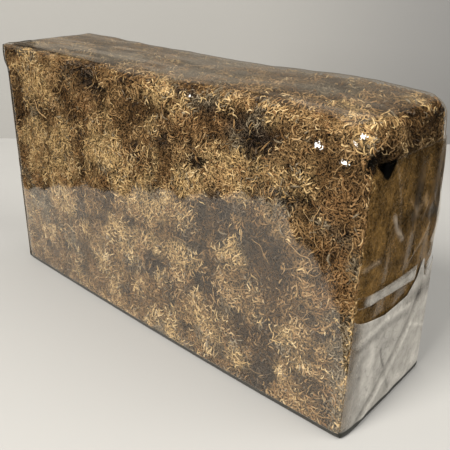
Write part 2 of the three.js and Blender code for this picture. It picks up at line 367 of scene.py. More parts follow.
def straight_pattern(name, widths, flatness):
    """A closed rod along X: a ring of three corners for each width, at even stations."""
    step = 1 / (len(widths) - 1)
    deselect_all()
    bpy.ops.mesh.primitive_cone_add(
        vertices=CORNERS, radius1=widths[0], radius2=widths[1], depth=step,
        location=(step / 2, 0, 0), rotation=(0, math.pi / 2, 0),
    )
    rod = bpy.context.object
    rod.name = name
    bpy.ops.object.transform_apply(location=True, rotation=True, scale=True)
    bpy.ops.object.mode_set(mode="EDIT")
    bpy.ops.mesh.select_mode(type="FACE")
    bpy.ops.mesh.select_all(action="DESELECT")
    mesh = bmesh.from_edit_mesh(rod.data)
    for face in mesh.faces:
        face.select_set(face.normal.x > FACING_ALONG)
    bmesh.update_edit_mesh(rod.data)
    for before, after in zip(widths[1:], widths[2:]):
        bpy.ops.mesh.extrude_region_move(TRANSFORM_OT_translate={"value": (step, 0, 0)})
        bpy.ops.transform.resize(value=(1, after / before, after / before))
    bpy.ops.mesh.select_all(action="SELECT")
    bpy.ops.transform.resize(value=(1, 1, flatness), center_override=(0, 0, 0))
    bpy.ops.mesh.quads_convert_to_tris()
    bpy.ops.mesh.normals_make_consistent(inside=False)
    bpy.ops.object.mode_set(mode="OBJECT")
    points = np.array([vertex.co[:] for vertex in rod.data.vertices])
    faces = np.array([face.vertices[:] for face in rod.data.polygons])
    bpy.data.objects.remove(rod)
    print(name, len(faces), "triangles")
    return points, faces


CURL = straight_pattern("curl", (0.45, 1.0, 0.9, 0.35), 0.65)
BRANCHLET = straight_pattern("branchlet", (0.4, 0.95, 0.8, 1.0, 0.3), 0.65)
STEM = straight_pattern("stem", (0.3, 0.8, 0.8, 0.75, 0.8, 0.75, 0.8, 0.7, 0.7, 0.6, 0.2), 0.9)
SHRED = straight_pattern("leaf_shred", (0.2, 0.8, 1.0, 0.9, 0.1), 0.25)

# %% [markdown]
# The branches lie in the skin of the block and curl there. One step along a branch is a step along
# the surface, after which the point is put back on it and the heading is turned a little, so a
# branch that comes to an edge simply bends over it. All branches take the step together, as
# arrays.

# %% Walking a branch over the surface
def turned(way, out, angle):
    """Directions turned round the way out, which they are square to."""
    side = np.cross(out, way)
    return way * np.cos(angle)[:, None] + side * np.sin(angle)[:, None]


def walk(start, way, length, curl, wobble, stations):
    """Points, ways out and headings of every branch, at every station along it."""
    spot, out = on_skin(start)
    spots, outs, ways = [], [], []
    for station in range(stations):
        way = way - out * np.sum(way * out, axis=1, keepdims=True)
        way /= np.maximum(np.linalg.norm(way, axis=1, keepdims=True), TINY)
        spots.append(spot)
        outs.append(out)
        ways.append(way)
        way = turned(way, out, curl / (stations - 1) + wobble[:, station])
        spot, out = on_skin(spot + way * (length / (stations - 1))[:, None])
    return np.stack(spots, 1), np.stack(outs, 1), np.stack(ways, 1)


# %% Laying a pattern along its walk
def laid(pattern, spots, outs, ways, width, roll):
    """The pattern's points along every branch, as one array of points for each."""
    points = pattern[0]
    stations = spots.shape[1]
    along = points[:, 0] * (stations - 1)
    left = np.clip(along.astype(int), 0, stations - 2)
    share = (along - left)[None, :, None]

    def between(values):
        return values[:, left] * (1 - share) + values[:, left + 1] * share

    heading = between(ways)
    out = between(outs)
    side = np.cross(out, heading)
    across = points[None, :, 1] * np.cos(roll)[:, None] - points[None, :, 2] * np.sin(roll)[:, None]
    rise = points[None, :, 1] * np.sin(roll)[:, None] + points[None, :, 2] * np.cos(roll)[:, None]
    half = width[:, None, None] / 2
    return between(spots) + side * across[..., None] * half + out * rise[..., None] * half


# %% One mesh from many branches
def new_mesh_object(name, points, faces):
    """A mesh object at the origin from points in millimetres and triangles."""
    mesh = bpy.data.meshes.new(name)
    mesh.vertices.add(len(points))
    mesh.vertices.foreach_set("co", (points * MM).ravel())
    mesh.loops.add(faces.size)
    mesh.loops.foreach_set("vertex_index", faces.ravel())
    mesh.polygons.add(len(faces))
    mesh.polygons.foreach_set("loop_start", np.arange(0, faces.size, 3))
    mesh.polygons.foreach_set("loop_total", np.full(len(faces), 3))
    mesh.update(calc_edges=True)
    mesh.validate()
    mesh.polygons.foreach_set("use_smooth", np.ones(len(mesh.polygons), bool))
    thing = bpy.data.objects.new(name, mesh)
    bpy.context.scene.collection.objects.link(thing)
    return thing


def write_attribute(thing, name, values):
    """One number for each point, which a finish can read by its name."""
    layer = thing.data.attributes.new(name, "FLOAT", "POINT")
    layer.data.foreach_set("value", values.astype(np.float32))


def write_colour(thing, name, colours):
    """One colour for each point."""
    layer = thing.data.attributes.new(name, "FLOAT_COLOR", "POINT")
    full = np.concatenate((colours, np.ones((len(colours), 1))), axis=1)
    layer.data.foreach_set("color", full.astype(np.float32).ravel())


# %% [markdown]
# Moss was torn and pressed by the handful, so it lies in tufts: some combed one way, some open
# like a star from a growing tip, and some just tangled. A tuft has one tone, and tones gather in
# patches. Those of the front, the top and the right end are listed one by one; the other faces
# get theirs by lot. Each tone is a short ramp, from its darkest to its palest branch.

# %% Tones of dead moss
RAMPS = {
    "charcoal": ((0.014, 0.008, 0.006), (0.074, 0.050, 0.034), (0.31, 0.245, 0.180)),
    "umber": ((0.036, 0.017, 0.006), (0.105, 0.058, 0.024), (0.24, 0.148, 0.072)),
    "brown": ((0.075, 0.038, 0.014), (0.209, 0.123, 0.052), (0.43, 0.285, 0.145)),
    "rust": ((0.105, 0.051, 0.018), (0.268, 0.152, 0.066), (0.47, 0.305, 0.155)),
    "tan": ((0.150, 0.083, 0.034), (0.390, 0.252, 0.118), (0.65, 0.480, 0.280)),
    "straw": ((0.250, 0.156, 0.066), (0.610, 0.430, 0.208), (0.89, 0.720, 0.450)),
    "grey": ((0.080, 0.060, 0.037), (0.215, 0.172, 0.115), (0.43, 0.365, 0.270)),
}
TONES = tuple(RAMPS)
print("tones:", ", ".join(TONES))

# %% Patches of the front, the top and the right end
FRONT_PATCHES = {
    # tone: (x, z, half width, half height) of each patch
    "straw": (
        (-120, 146, 11, 10), (-127, 98, 12, 14), (-88, 99, 15, 22), (-110, 88, 11, 9),
        (-40, 117, 18, 14), (12, 157, 13, 9), (47, 131, 10, 6), (40, 118, 19, 7), (85, 131, 10, 6),
        (-90, 64, 12, 9), (-25, 59, 15, 9), (25, 62, 13, 6), (47, 62, 9, 6), (70, 71, 7, 7),
        (10, 41, 5, 5), (112, 39, 10, 7), (25, 9, 16, 6), (-55, 34, 12, 6), (50, 29, 9, 7),
        (10, 90, 13, 9), (-12, 97, 10, 8),
    ),
    "tan": (
        (-50, 130, 8, 5), (20, 134, 9, 8), (120, 161, 18, 6), (62, 122, 8, 7), (-100, 155, 12, 8),
        (75, 52, 11, 6), (125, 9, 14, 6), (-37, 7, 12, 5), (-120, 25, 16, 10),
    ),
    "rust": ((34, 147, 15, 6), (-60, 141, 8, 8), (137, 96, 10, 20), (-135, 78, 12, 9)),
    "charcoal": (
        (-67, 164, 13, 5), (-55, 154, 8, 6), (5, 134, 7, 7), (-2, 119, 11, 8), (37, 123, 7, 4),
        (66, 152, 7, 4), (82, 144, 7, 4), (57, 94, 21, 11), (-72, 59, 7, 8), (-2, 46, 9, 6),
        (37, 49, 9, 6), (90, 9, 8, 6), (28, 76, 10, 5), (121, 60, 7, 8), (30, 171, 7, 4),
        (60, 160, 7, 5), (79, 150, 8, 5), (138, 49, 6, 7), (143, 15, 5, 6),
    ),
    "umber": (
        (-10, 146, 9, 7), (-92, 138, 9, 9), (-107, 119, 9, 9), (-65, 111, 10, 8), (100, 141, 8, 8),
        (-143, 128, 7, 20), (64, 30, 6, 7), (95, 76, 14, 12), (-40, 81, 11, 7), (90, 30, 10, 7),
        (128, 21, 6, 6),
    ),
    "brown": (
        (125, 144, 14, 9), (115, 99, 14, 9), (-25, 139, 9, 8), (0, 22, 14, 8), (-62, 14, 12, 7),
    ),
    "grey": (
        (100, 116, 7, 6), (-87, 39, 12, 8), (-125, 55, 14, 10), (47, 164, 8, 5), (71, 152, 10, 6),
        (146, 45, 8, 36),
    ),
}
TOP_PATCHES = {
    # tone: (x, y, half width, half height) of each patch
    "charcoal": ((-100, 4, 10, 12), (-130, -29, 14, 7)),
    "grey": (
        (-85, -22, 12, 8), (-60, 0, 14, 10), (20, 0, 18, 10), (100, 0, 14, 10), (0, 28, 18, 8),
    ),
    "umber": ((-27, 18, 12, 6), (137, -2, 8, 12), (-50, -28, 14, 6)),
    "rust": ((-20, -8, 16, 8),),
    "straw": ((128, -19, 9, 8), (93, 34, 6, 3)),
    "tan": ((60, -15, 16, 10),),
    "brown": ((55, 22, 16, 8),),
}
RIGHT_PATCHES = {
    # tone: (y, z, half width, half height) of each patch
    "tan": ((-36, 122, 6, 14), (-36, 62, 7, 14)),
    "straw": ((-36, 90, 7, 14), (-36, 25, 7, 22)),
    "brown": ((-20, 163, 14, 8), (5, 163, 14, 8), (-15, 110, 10, 25)),
    "umber": ((28, 160, 10, 10), (10, 120, 12, 25)),
}
MARKED = {"front": FRONT_PATCHES, "top": TOP_PATCHES, "right": RIGHT_PATCHES}
for name, patches in MARKED.items():
    print(name, sum(len(spots) for spots in patches.values()), "patches placed by hand")

# %% The faces, and how likely each tone is on them
FACES = {
    # face: (along, up, out, half length, half height, tuft spacing, branches in a tuft)
    "front": ((1, 0, 0), (0, 0, 1), (0, -1, 0), HALF[0], HALF[2], 8.0, 31),
    "back": ((-1, 0, 0), (0, 0, 1), (0, 1, 0), HALF[0], HALF[2], 11.0, 9),
    "top": ((1, 0, 0), (0, 1, 0), (0, 0, 1), HALF[0], HALF[1], 9.0, 19),
    "bottom": ((-1, 0, 0), (0, 1, 0), (0, 0, -1), HALF[0], HALF[1], 20.0, 9),
    "right": ((0, 1, 0), (0, 0, 1), (1, 0, 0), HALF[1], HALF[2], 8.5, 24),
    "left": ((0, -1, 0), (0, 0, 1), (-1, 0, 0), HALF[1], HALF[2], 10.5, 11),
}
# The shares have one value for each tone.
COMMON_SHARE = np.array((0.06, 0.17, 0.28, 0.04, 0.27, 0.09, 0.09))
DRAWN_SHARE = (0.14, 0.2, 0.12, 0.1, 0.13, 0.22, 0.09)
DRAWN_SIZE = (7, 16)
DRAWN_SPACING = 22
PATCH_PULL = 38.0
PATCH_EDGE = 1.2


def placed_patches(marked, foot):
    """The listed patches as one list, the second place counted from the middle of the face."""
    return [(a, b - foot, *size, tone) for tone in marked for a, b, *size in marked[tone]]


def drawn_patches(rng, half_length, half_height):
    """Patches for a face with none listed, in its own two directions from its middle."""
    count = int(4 * half_length * half_height / DRAWN_SPACING**2)
    spots = rng.uniform(-1, 1, (count, 2)) * (half_length, half_height)
    sizes = rng.uniform(*DRAWN_SIZE, (count, 2))
    tones = rng.choice(len(TONES), count, p=DRAWN_SHARE)
    return [(*spot, *size, TONES[tone]) for spot, size, tone in zip(spots, sizes, tones)]


def tone_weights(u, w, patches):
    """How likely each tone is at a place on a face, one row for each place."""
    weights = np.tile(COMMON_SHARE, (len(u), 1))
    for x, z, wide, high, tone in patches:
        near = np.exp(-(((u - x) / wide) ** 2 + ((w - z) / high) ** 2) * PATCH_EDGE)
        weights[:, TONES.index(tone)] += PATCH_PULL * near * COMMON_SHARE.mean()
    return weights / weights.sum(1, keepdims=True)


# %% Waves over the block, its coarse side and its clefts
def waves(points, rng, count, lengths, stretch=(1, 1, 1)):
    """A sum of sine waves over points; stretch draws them out along an axis."""
    total = np.zeros(len(points))
    for _ in range(count):
        way = rng.normal(size=3) / np.array(stretch)
        way *= math.tau / (rng.uniform(*lengths) * np.linalg.norm(way))
        total += np.sin(points @ way + rng.uniform(0, math.tau))
    return total / math.sqrt(count)


FINE_TO_COARSE = (-140, 130)
CLEFT_SEED = 19
CLEFT_SEAMS, CLEFT_WIDTH = (10, (13, 30)), 0.26
CLEFT_GAPS, CLEFT_ENDS = (8, (18, 45)), (-0.2, 0.6)
CLEFT_DEPTH = 2.8


def coarseness(points):
    """0 at the left, where the moss is fine, to 1 at the right."""
    return smooth(*FINE_TO_COARSE, points[:, 0])


def clefts(points):
    """1 in the clefts between two handfuls of moss, and 0 elsewhere; moss there sinks into real shadow
    and gets painted shade for its depth.
    """
    rng = np.random.default_rng(CLEFT_SEED)
    seams = np.abs(waves(points, rng, *CLEFT_SEAMS))
    gaps = waves(points, rng, *CLEFT_GAPS)
    return (1 - smooth(0, CLEFT_WIDTH, seams)) * smooth(*CLEFT_ENDS, gaps)


# %% Tufts on each face
TUFT_KINDS = ("combed", "star", "tangled")
KIND_SHARE = (0.42, 0.20, 0.38)
STAR = TUFT_KINDS.index("star")
TUFT_SEED = 41
SHAKE = 0.45
FINE_COUNT, COARSE_COUNT = 1.3, 0.8
LEAN_WAVES = (6, (50, 130))
LEAN, LEAN_SPREAD, BEND_SPREAD = 1.7, 0.5, 1.5
TUFT_SHADE = (0.5, 0.17)
DEPTH_RANGE = (0.6, 1.3)
DEPTH_SPREAD = (1.0, 0.35)
# How deep each tone lies, and how much its branches differ in shade
TONE_DEPTH = np.array((1.7, 1.15, 0.7, 0.6, 0.25, 0.0, 0.6))
TONE_SPREAD = np.array((0.36, 0.27, 0.22, 0.20, 0.17, 0.14, 0.20))


def face_tufts(name, rng):
    """The tufts of a face, spaced like a shaken grid."""
    along, up, out, half_length, half_height, spacing, branches = FACES[name]
    columns = round(2 * half_length / spacing)
    rows = round(2 * half_height / spacing)
    u, w = np.meshgrid((np.arange(columns) + 0.5) / columns, (np.arange(rows) + 0.5) / rows)
    u = (u.ravel() + rng.uniform(-SHAKE, SHAKE, u.size) / columns) * 2 - 1
    w = (w.ravel() + rng.uniform(-SHAKE, SHAKE, w.size) / rows) * 2 - 1
    u, w = u * half_length, w * half_height
    if name in MARKED:
        patches = placed_patches(MARKED[name], 0 if name == "top" else HALF[2])
    else:
        patches = drawn_patches(rng, half_length, half_height)
    weights = tone_weights(u, w, patches)
    tones = (weights.cumsum(1) > rng.random(len(u))[:, None]).argmax(1)
    middles = np.outer(u, along) + np.outer(w, up) + np.array(out) * HALF
    count = len(u)
    crowding = FINE_COUNT + (COARSE_COUNT - FINE_COUNT) * coarseness(middles)
    return {
        "middle": on_skin(middles)[0],
        "tone": tones,
        "along": np.tile(along, (count, 1)),
        "up": np.tile(up, (count, 1)),
        "branches": np.round(branches * crowding).astype(int),
        "lean": LEAN * waves(middles, rng, *LEAN_WAVES) + rng.normal(0, LEAN_SPREAD, count),
        "kind": rng.choice(len(TUFT_KINDS), count, p=KIND_SHARE),
        "bend": rng.normal(0, BEND_SPREAD, count),
        "shade": np.clip(rng.normal(*TUFT_SHADE, count), 0, 1),
        "depth": TONE_DEPTH[tones] * rng.uniform(*DEPTH_RANGE, count) + rng.gamma(*DEPTH_SPREAD, count),
    }


def joined(parts):
    """Tables of arrays put end to end, as one table."""
    return {key: np.concatenate([part[key] for part in parts]) for key in parts[0]}


def chosen_rows(table, rows):
    """The same table with only some of its rows."""
    return {key: values[rows] for key, values in table.items()}


rng = np.random.default_rng(TUFT_SEED)
tufts = joined([face_tufts(name, rng) for name in FACES])
print(len(tufts["tone"]), "tufts")

# %% [markdown]
# Within a tuft not every branch has the tuft's tone: a few take a neighbouring one. A tuft is
# domed, so its outer branches lie deeper, and the deep ones get painted shade: their colour is
# darkened by how deep they lie. Each branch dips into the block at both ends and weaves a little
# over and under the others on the way. That weave is what makes the dark gaps.

# %% The edges of the block
EDGE_REACH = 9.0
DEPTH_AT_EDGE = 0.25
ARC_SHARE = 0.3


def near_edge(points, least):
    """least at an edge of the block, where the moss fills the film, and 1 further in."""
    flat = points.reshape(-1, 3)
    from_edge = np.sort(HALF - np.abs(flat), axis=1)[:, 1] - ARC_SHARE * edge_radius(flat)[:, 0]
    return (least + (1 - least) * smooth(0, EDGE_REACH, from_edge)).reshape(points.shape[:-1])


# %% Branches of every tuft
BRANCH_LENGTH = (4.0, 9.0)
FINE_WIDTH, COARSE_WIDTH = 0.74, 1.10
FINE_LENGTH, COARSE_LENGTH = 0.80, 0.77
COMBED_HEADING, COMBED_CURL = 0.4, 1.0
STAR_LENGTH, STAR_CURL, STAR_SPREAD, STAR_FALL = 0.75, 1.2, 0.35, 1.8
STAR_FALL_RANGE = (0.3, 1.3)
TANGLED_CURL = (2.8, 1.0)
TUFT_SPREAD = 4.0
STRAY_SHARE = 0.36
ANY_TONE_SHARE = 0.08
DOME_FALL, DOME_LIMIT = 0.8, 1.6
SINK_SPREAD = (1.4, 0.62)


def tuft_branches(tufts, rng):
    """Start, heading, curl, tone, shade and depth of every branch."""
    tuft = np.repeat(np.arange(len(tufts["tone"])), tufts["branches"])
    of = chosen_rows(tufts, tuft)
    count = len(tuft)
    kind = of["kind"]
    coarse = coarseness(of["middle"])
    length = rng.uniform(*BRANCH_LENGTH, count) * np.where(kind == STAR, STAR_LENGTH, 1)
    length *= FINE_LENGTH + (COARSE_LENGTH - FINE_LENGTH) * coarse
    angle = np.choose(kind, (
        of["lean"] + rng.normal(0, COMBED_HEADING, count),
        rng.uniform(0, math.tau, count),
        rng.uniform(0, math.tau, count),
    ))
    curl = np.choose(kind, (
        of["bend"] + rng.normal(0, COMBED_CURL, count),
        of["bend"] + rng.normal(0, STAR_CURL, count),
        rng.choice((-1, 1), count) * rng.normal(*TANGLED_CURL, count),
    ))
    heading = of["along"] * np.cos(angle)[:, None] + of["up"] * np.sin(angle)[:, None]
    spread = rng.normal(0, TUFT_SPREAD, (count, 2))
    spread[kind == STAR] *= STAR_SPREAD
    start = of["middle"] + of["along"] * spread[:, :1] + of["up"] * spread[:, 1:]
    start -= heading * np.where(kind == STAR, 0, length / 2)[:, None]
    from_middle = np.linalg.norm(spread, axis=1) / TUFT_SPREAD
    stray = rng.random(count)
    beside = np.clip(of["tone"] + rng.choice((-1, 1), count), 0, len(TONES) - 1)
    tone = np.where(stray < STRAY_SHARE, beside, of["tone"])
    tone = np.where(stray < ANY_TONE_SHARE, rng.choice(len(TONES), count, p=COMMON_SHARE), tone)
    middle = on_skin(start + heading * length[:, None] / 2)[0]
    sunk = of["depth"] + DOME_FALL * np.minimum(from_middle**2 / 2, DOME_LIMIT)
    sunk += rng.gamma(*SINK_SPREAD, count) + CLEFT_DEPTH * clefts(middle)
    sunk *= near_edge(middle, DEPTH_AT_EDGE)
    return {
        "start": start,
        "heading": heading,
        "length": length,
        "curl": curl,
        "tone": tone,
        "shade": np.clip(of["shade"] + rng.normal(0, 1, count) * TONE_SPREAD[of["tone"]], 0, 1),
        "fall": np.where(kind == STAR, STAR_FALL, 0) * rng.uniform(*STAR_FALL_RANGE, count),
        "sunk": sunk,
        "size": FINE_WIDTH + (COARSE_WIDTH - FINE_WIDTH) * coarse,
    }


branches = tuft_branches(tufts, rng)
print(len(branches["length"]), "branches")

# %% Sinking the branches into the block
MOSS_GAP = 0.2
DIP, DIP_RANGE = 1.1, (0.3, 1.6)
WEAVE, WEAVE_TURNS = 0.45, (4, 9)
LEAST_INSET = 0.12


def sunk_path(spots, outs, depth, fall, rng):
    """The path of each branch below the skin, at its depth, dipping at both ends."""
    count, stations = spots.shape[:2]
    share = np.linspace(0, 1, stations)
    dip = DIP * rng.uniform(*DIP_RANGE, (count, 1)) * (2 * share - 1) ** 2
    phase = rng.uniform(0, math.tau, (count, 1))
    weave = WEAVE * np.sin(share * rng.uniform(*WEAVE_TURNS, (count, 1)) + phase)
    sway = (fall[:, None] * share + dip + weave) * near_edge(spots, DEPTH_AT_EDGE)
    inset = np.maximum(depth[:, None] + sway, LEAST_INSET)
    return spots - outs * (inset + MOSS_GAP)[..., None]


def shaped(points):
    """Branch points put on the real, swollen block."""
    flat = points.reshape(-1, 3)
    return set_back(crowned(flat)).reshape(points.shape)


# %% The hollow below the shoulder
VOID_LOW = np.array((134.0, -35.4, 139.5))
VOID_HIGH = np.array((155.0, -18.0, 151.5))
VOID_TAPER = 0.75


def in_void(points):
    """Which branches reach into the hollow below the shoulder at the right end."""
    low, high = VOID_LOW, VOID_HIGH
    down = (high[2] - points[..., 2]) / (high[2] - low[2])
    inside = (points[..., 0] > low[0]) & (down > 0) & (down < 1)
    middle = (low[1] + high[1]) / 2
    reach = (high[1] - low[1]) / 2 * (1 - VOID_TAPER * down)
    return (inside & (np.abs(points[..., 1] - middle) < reach)).any(1)


# %% Laying the branches
LONG_BRANCH = 7.6
BRANCH_WIDTH = (0.75, 1.2)
WOBBLE = 0.28
ROLL = 0.5


def lay(pattern, chosen, rng):
    """Points of the chosen branches, one row each."""
    count = len(chosen["length"])
    stations = len(pattern[0]) // CORNERS
    wobble = rng.normal(0, WOBBLE, (count, stations))
    spots, outs, ways = walk(
        chosen["start"], chosen["heading"], chosen["length"], chosen["curl"], wobble, stations
    )
    width = rng.uniform(*BRANCH_WIDTH, count) * chosen["size"]
    path = sunk_path(spots, outs, chosen["sunk"] + width / 4, chosen["fall"], rng)
    points = laid(pattern, path, outs, ways, width, rng.normal(0, ROLL, count))
    return shaped(points)


def batch(pattern, chosen, rng):
    """The pattern, its laid points and their table, without the branches that lie in the hollow."""
    points = lay(pattern, chosen, rng)
    kept = ~in_void(points)
    return pattern, points[kept], chosen_rows(chosen, kept)


long = branches["length"] > LONG_BRANCH
batches = [
    batch(CURL, chosen_rows(branches, ~long), rng),
    batch(BRANCHLET, chosen_rows(branches, long), rng),
]
print("laid", sum(len(points) for _, points, _ in batches), "branches")

# %% [markdown]
# A few long stems and shreds of leaf lie over the branches. They are what the eye follows across
# a patch, and at the right of the long face they sweep round in wide bows.

# %% Long stems and leaf shreds
STEMS = {
    "count": 210, "length": (11, 24), "curl": 1.4, "sunk": (0.3, 1.8), "size": (0.6, 0.8),
    "tones": ("brown", "tan", "umber", "brown", "tan"),
}
SHREDS = {
    "count": 460, "length": (4, 9), "curl": 0.6, "sunk": (0.1, 1.0), "size": (1.1, 1.8),
    "tones": ("umber", "tan", "brown", "grey", "brown"),
}
LOOSE_SHADE = (0.2, 0.9)
FACE_SHARE = (0.4, 0.22, 0.17, 0.02, 0.1, 0.09)
FACE_REACH = 0.95
SWEPT = 18
SWEEP_MIDDLE, SWEEP_SPREAD = np.array((118, -HALF[1], 118 - HALF[2])), (16, 0, 22)
SWEEP_SLANT = (-0.75, 0.6)
SWEEP_TONES = ("brown", "brown", "tan")


def drawn_tones(tones, count, rng):
    """The numbers of tones drawn from a few named ones."""
    return rng.choice([TONES.index(tone) for tone in tones], count)


def scattered(count, rng):
    """Places and headings spread over the long faces, the top and the ends."""
    names = rng.choice(list(FACES), count, p=FACE_SHARE)
    start = np.zeros((count, 3))
    heading = np.zeros((count, 3))
    for index, name in enumerate(names):
        along, up, out, half_length, half_height, _, _ = FACES[name]
        u, w = rng.uniform(-FACE_REACH, FACE_REACH, 2) * (half_length, half_height)
        angle = rng.uniform(0, math.tau)
        start[index] = np.array(along) * u + np.array(up) * w + np.array(out) * HALF
        heading[index] = np.array(along) * math.cos(angle) + np.array(up) * math.sin(angle)
    return start, heading


def loose_pieces(rng, count, length, curl, sunk, size, tones):
    """A table like that of the branches, for stems or shreds."""
    start, heading = scattered(count, rng)
    return {
        "start": start,
        "heading": heading,
        "fall": np.zeros(count),
        "length": rng.uniform(*length, count),
        "curl": rng.normal(0, curl, count),
        "sunk": rng.uniform(*sunk, count),
        "size": rng.uniform(*size, count),
        "tone": drawn_tones(tones, count, rng),
        "shade": rng.uniform(*LOOSE_SHADE, count),
    }


stems = loose_pieces(rng, **STEMS)
stems["start"][:SWEPT] = SWEEP_MIDDLE + rng.normal(0, 1, (SWEPT, 3)) * SWEEP_SPREAD
slant = rng.normal(*SWEEP_SLANT, SWEPT)
stems["heading"][:SWEPT] = np.stack((np.cos(slant), np.zeros(SWEPT), np.sin(slant)), 1)
stems["tone"][:SWEPT] = drawn_tones(SWEEP_TONES, SWEPT, rng)
shreds = loose_pieces(rng, **SHREDS)
for name, pattern, table in (("stems", STEM, stems), ("shreds", SHRED, shreds)):
    batches.append(batch(pattern, table, rng))
    print("laid", len(batches[-1][1]), name)

# %% [markdown]
# Dead moss is matt, with fibres along each branch and paler tips. Every tone is its own finish. A
# number stored on each branch picks the place on its ramp, a second one says how near the tip a
# point is, and a third one how deep the branch lies, which darkens it as painted shade. The colour
# is also made a little paler towards the foot.

# %% Finishes of the moss
# Painted shade: how much it darkens a branch or the bed, between these depths in mm.
DEEP_SHADE = 0.86
DEEP_FROM = 1.0
DEEP_FULL = 4.2
PALE_HEIGHT = (95, 50)
TIP_POWER = 3
LEVEL_DROP = 0.222


def moss_finish(tone):
    """The finish of one tone's branches: its ramp, darkened by painted shade where a branch lies
    deeper.
    """
    finish = Finish(f"dried_moss_{tone}")
    dark, middle, pale = RAMPS[tone]
    shade = finish.attribute("shade")
    tip = finish.attribute("tip")
    fibre = finish.noise(0.35, 3.0)
    leaf = finish.noise(1.0, shift=17.0).between(0.34, 0.66)
    patch = finish.noise(6.0)
    low = finish.axes()[2].between(*PALE_HEIGHT)
    level = shade * 0.62 + tip * 0.12 + fibre * 0.2 + leaf * 0.3 + patch * 0.3 + low * 0.1
    level = level - LEVEL_DROP
    colour = finish.ramp(level, ((0.0, dark), (0.5, middle), (1.0, pale)))
    # Painted shade: the deeper a branch lies, the darker its colour.
    light = 1 - finish.attribute("deep") * DEEP_SHADE
    shader = finish.node("ShaderNodeBsdfPrincipled", {}, {
        "Base Color": finish.tinted(colour, light),
        "Roughness": 0.55 + fibre * 0.3,
        "Specular IOR Level": 0.1,
        "Normal": finish.bump(fibre + leaf, strength=0.6, distance=0.14),
    })
    return finish.shown(shader)


moss_finishes = {tone: moss_finish(tone) for tone in TONES}
print("moss finishes:", ", ".join(moss_finishes))

# %% One piece for each tone and part of the block
REGIONS = {
    "front_left": lambda x, y: (y < 0) & (x < 0),
    "front_right": lambda x, y: (y < 0) & (x >= 0),
    "back": lambda x, y: y >= 0,
}


def moss_piece(name, tone, region):
    """All branches of one tone on one part of the block, as one mesh."""
    points, faces = [], []
    attributes = {"shade": [], "tip": [], "deep": []}
    used = 0
    for (straight, triangles), spots, table in batches:
        middle = spots.mean(1)
        mine = (table["tone"] == TONES.index(tone)) & REGIONS[region](middle[:, 0], middle[:, 1])
        count, size = mine.sum(), len(straight)
        points.append(spots[mine].reshape(-1, 3))
        offsets = used + np.arange(count)[:, None, None] * size
        faces.append((triangles[None] + offsets).reshape(-1, 3))
        attributes["shade"].append(np.repeat(table["shade"][mine], size))
        attributes["tip"].append(np.tile(np.abs(straight[:, 0] * 2 - 1) ** TIP_POWER, count))
        # Painted shade, by how deep the branch lies.
        attributes["deep"].append(np.repeat(smooth(DEEP_FROM, DEEP_FULL, table["sunk"][mine]), size))
        used += count * size
    piece = new_mesh_object(name, np.concatenate(points), np.concatenate(faces))
    for attribute, values in attributes.items():
        write_attribute(piece, attribute, np.concatenate(values))
    piece.data.materials.append(moss_finishes[tone])
    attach(piece, "root")
    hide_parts("moss_block")
    return piece


for tone in TONES:
    for region in REGIONS:
        piece = moss_piece(f"{tone}_branches_{region}", tone, region)
        print(piece.name, len(piece.data.polygons), "triangles")

# %% [markdown]
# Behind the branches the block is a matted bed of broken moss. It starts as a cube, cut into a
# fine grid, rounded by the formula and sunk as deep as the tufts that lie on it, then roughened
# with a Displace modifier. It has the tufts' own tones, drawn as fine winding threads on a dark
# ground, partly the darker moss below and partly painted shade, so a gap between two branches
# shows more moss, further down. Like the branches it gets painted shade where it lies deep, and in
# the hollow below the shoulder it is painted nearly black.

# %% A block of even squares
def select_long_edges(thing, axis, least):
    """Selects the edges that run more than least along an axis."""
    bpy.ops.mesh.select_mode(type="EDGE")
    bpy.ops.mesh.select_all(action="DESELECT")
    mesh = bmesh.from_edit_mesh(thing.data)
    for edge in mesh.edges:
        start, end = edge.verts
        edge.select_set(abs((start.co - end.co)[axis]) > least)
    bmesh.update_edit_mesh(thing.data)


def block_blank(name, cell):
    """A cube of the block's size, round the origin, cut into squares about cell wide."""
    deselect_all()
    bpy.ops.mesh.primitive_cube_add(size=1)
    blank = bpy.context.object
    blank.name = name
    bpy.ops.object.mode_set(mode="EDIT")
    bpy.ops.transform.resize(value=tuple(2 * HALF * MM))
    for axis in range(3):
        select_long_edges(blank, axis, cell * MM)
        cuts = round(2 * HALF[axis] / cell) - 1
        bpy.ops.mesh.subdivide(number_cuts=cuts, quadcorner="STRAIGHT_CUT")
    bpy.ops.object.mode_set(mode="OBJECT")
    return blank


def points_of(thing):
    """A mesh's points, in millimetres."""
    spots = np.zeros(len(thing.data.vertices) * 3)
    thing.data.vertices.foreach_get("co", spots)
    return spots.reshape(-1, 3) / MM


def set_points(thing, points):
    """Writes points in millimetres back to a mesh."""
    thing.data.vertices.foreach_set("co", (points * MM).ravel())
    thing.data.update()


def apply_modifier(thing, kind, **settings):
    """Adds a modifier with its settings and applies it at once."""
    modifier = thing.modifiers.new(kind.lower(), kind)
    for name, value in settings.items():
        setattr(modifier, name, value)
    deselect_all()
    bpy.context.view_layer.objects.active = thing
    thing.select_set(True)
    bpy.ops.object.modifier_apply(modifier=modifier.name)


# %% The tufts round each point of the bed
TUFT_REACH = 5.0
NEAREST_TUFTS = 5
LEAST_WEIGHT = 1e-6


def tuft_field(points):
    """The mean depth and colour of the tufts round each point of the skin."""
    tree = KDTree(len(tufts["tone"]))
    for index, middle in enumerate(tufts["middle"]):
        tree.insert(middle, index)
    tree.balance()
    tones = np.array([middle for _, middle, _ in RAMPS.values()])
    colours = tones[tufts["tone"]] * (0.5 + tufts["shade"])[:, None]
    depth = np.zeros(len(points))
    colour = np.zeros((len(points), 3))
    for row, point in enumerate(points):
        found = tree.find_n(point, NEAREST_TUFTS)
        index = [place for _, place, _ in found]
        away = np.array([distance for _, _, distance in found])
        weight = np.exp(-((away / TUFT_REACH) ** 2)) + LEAST_WEIGHT
        weight /= weight.sum()
        depth[row] = weight @ tufts["depth"][index]
        colour[row] = weight @ colours[index]
    return depth, colour


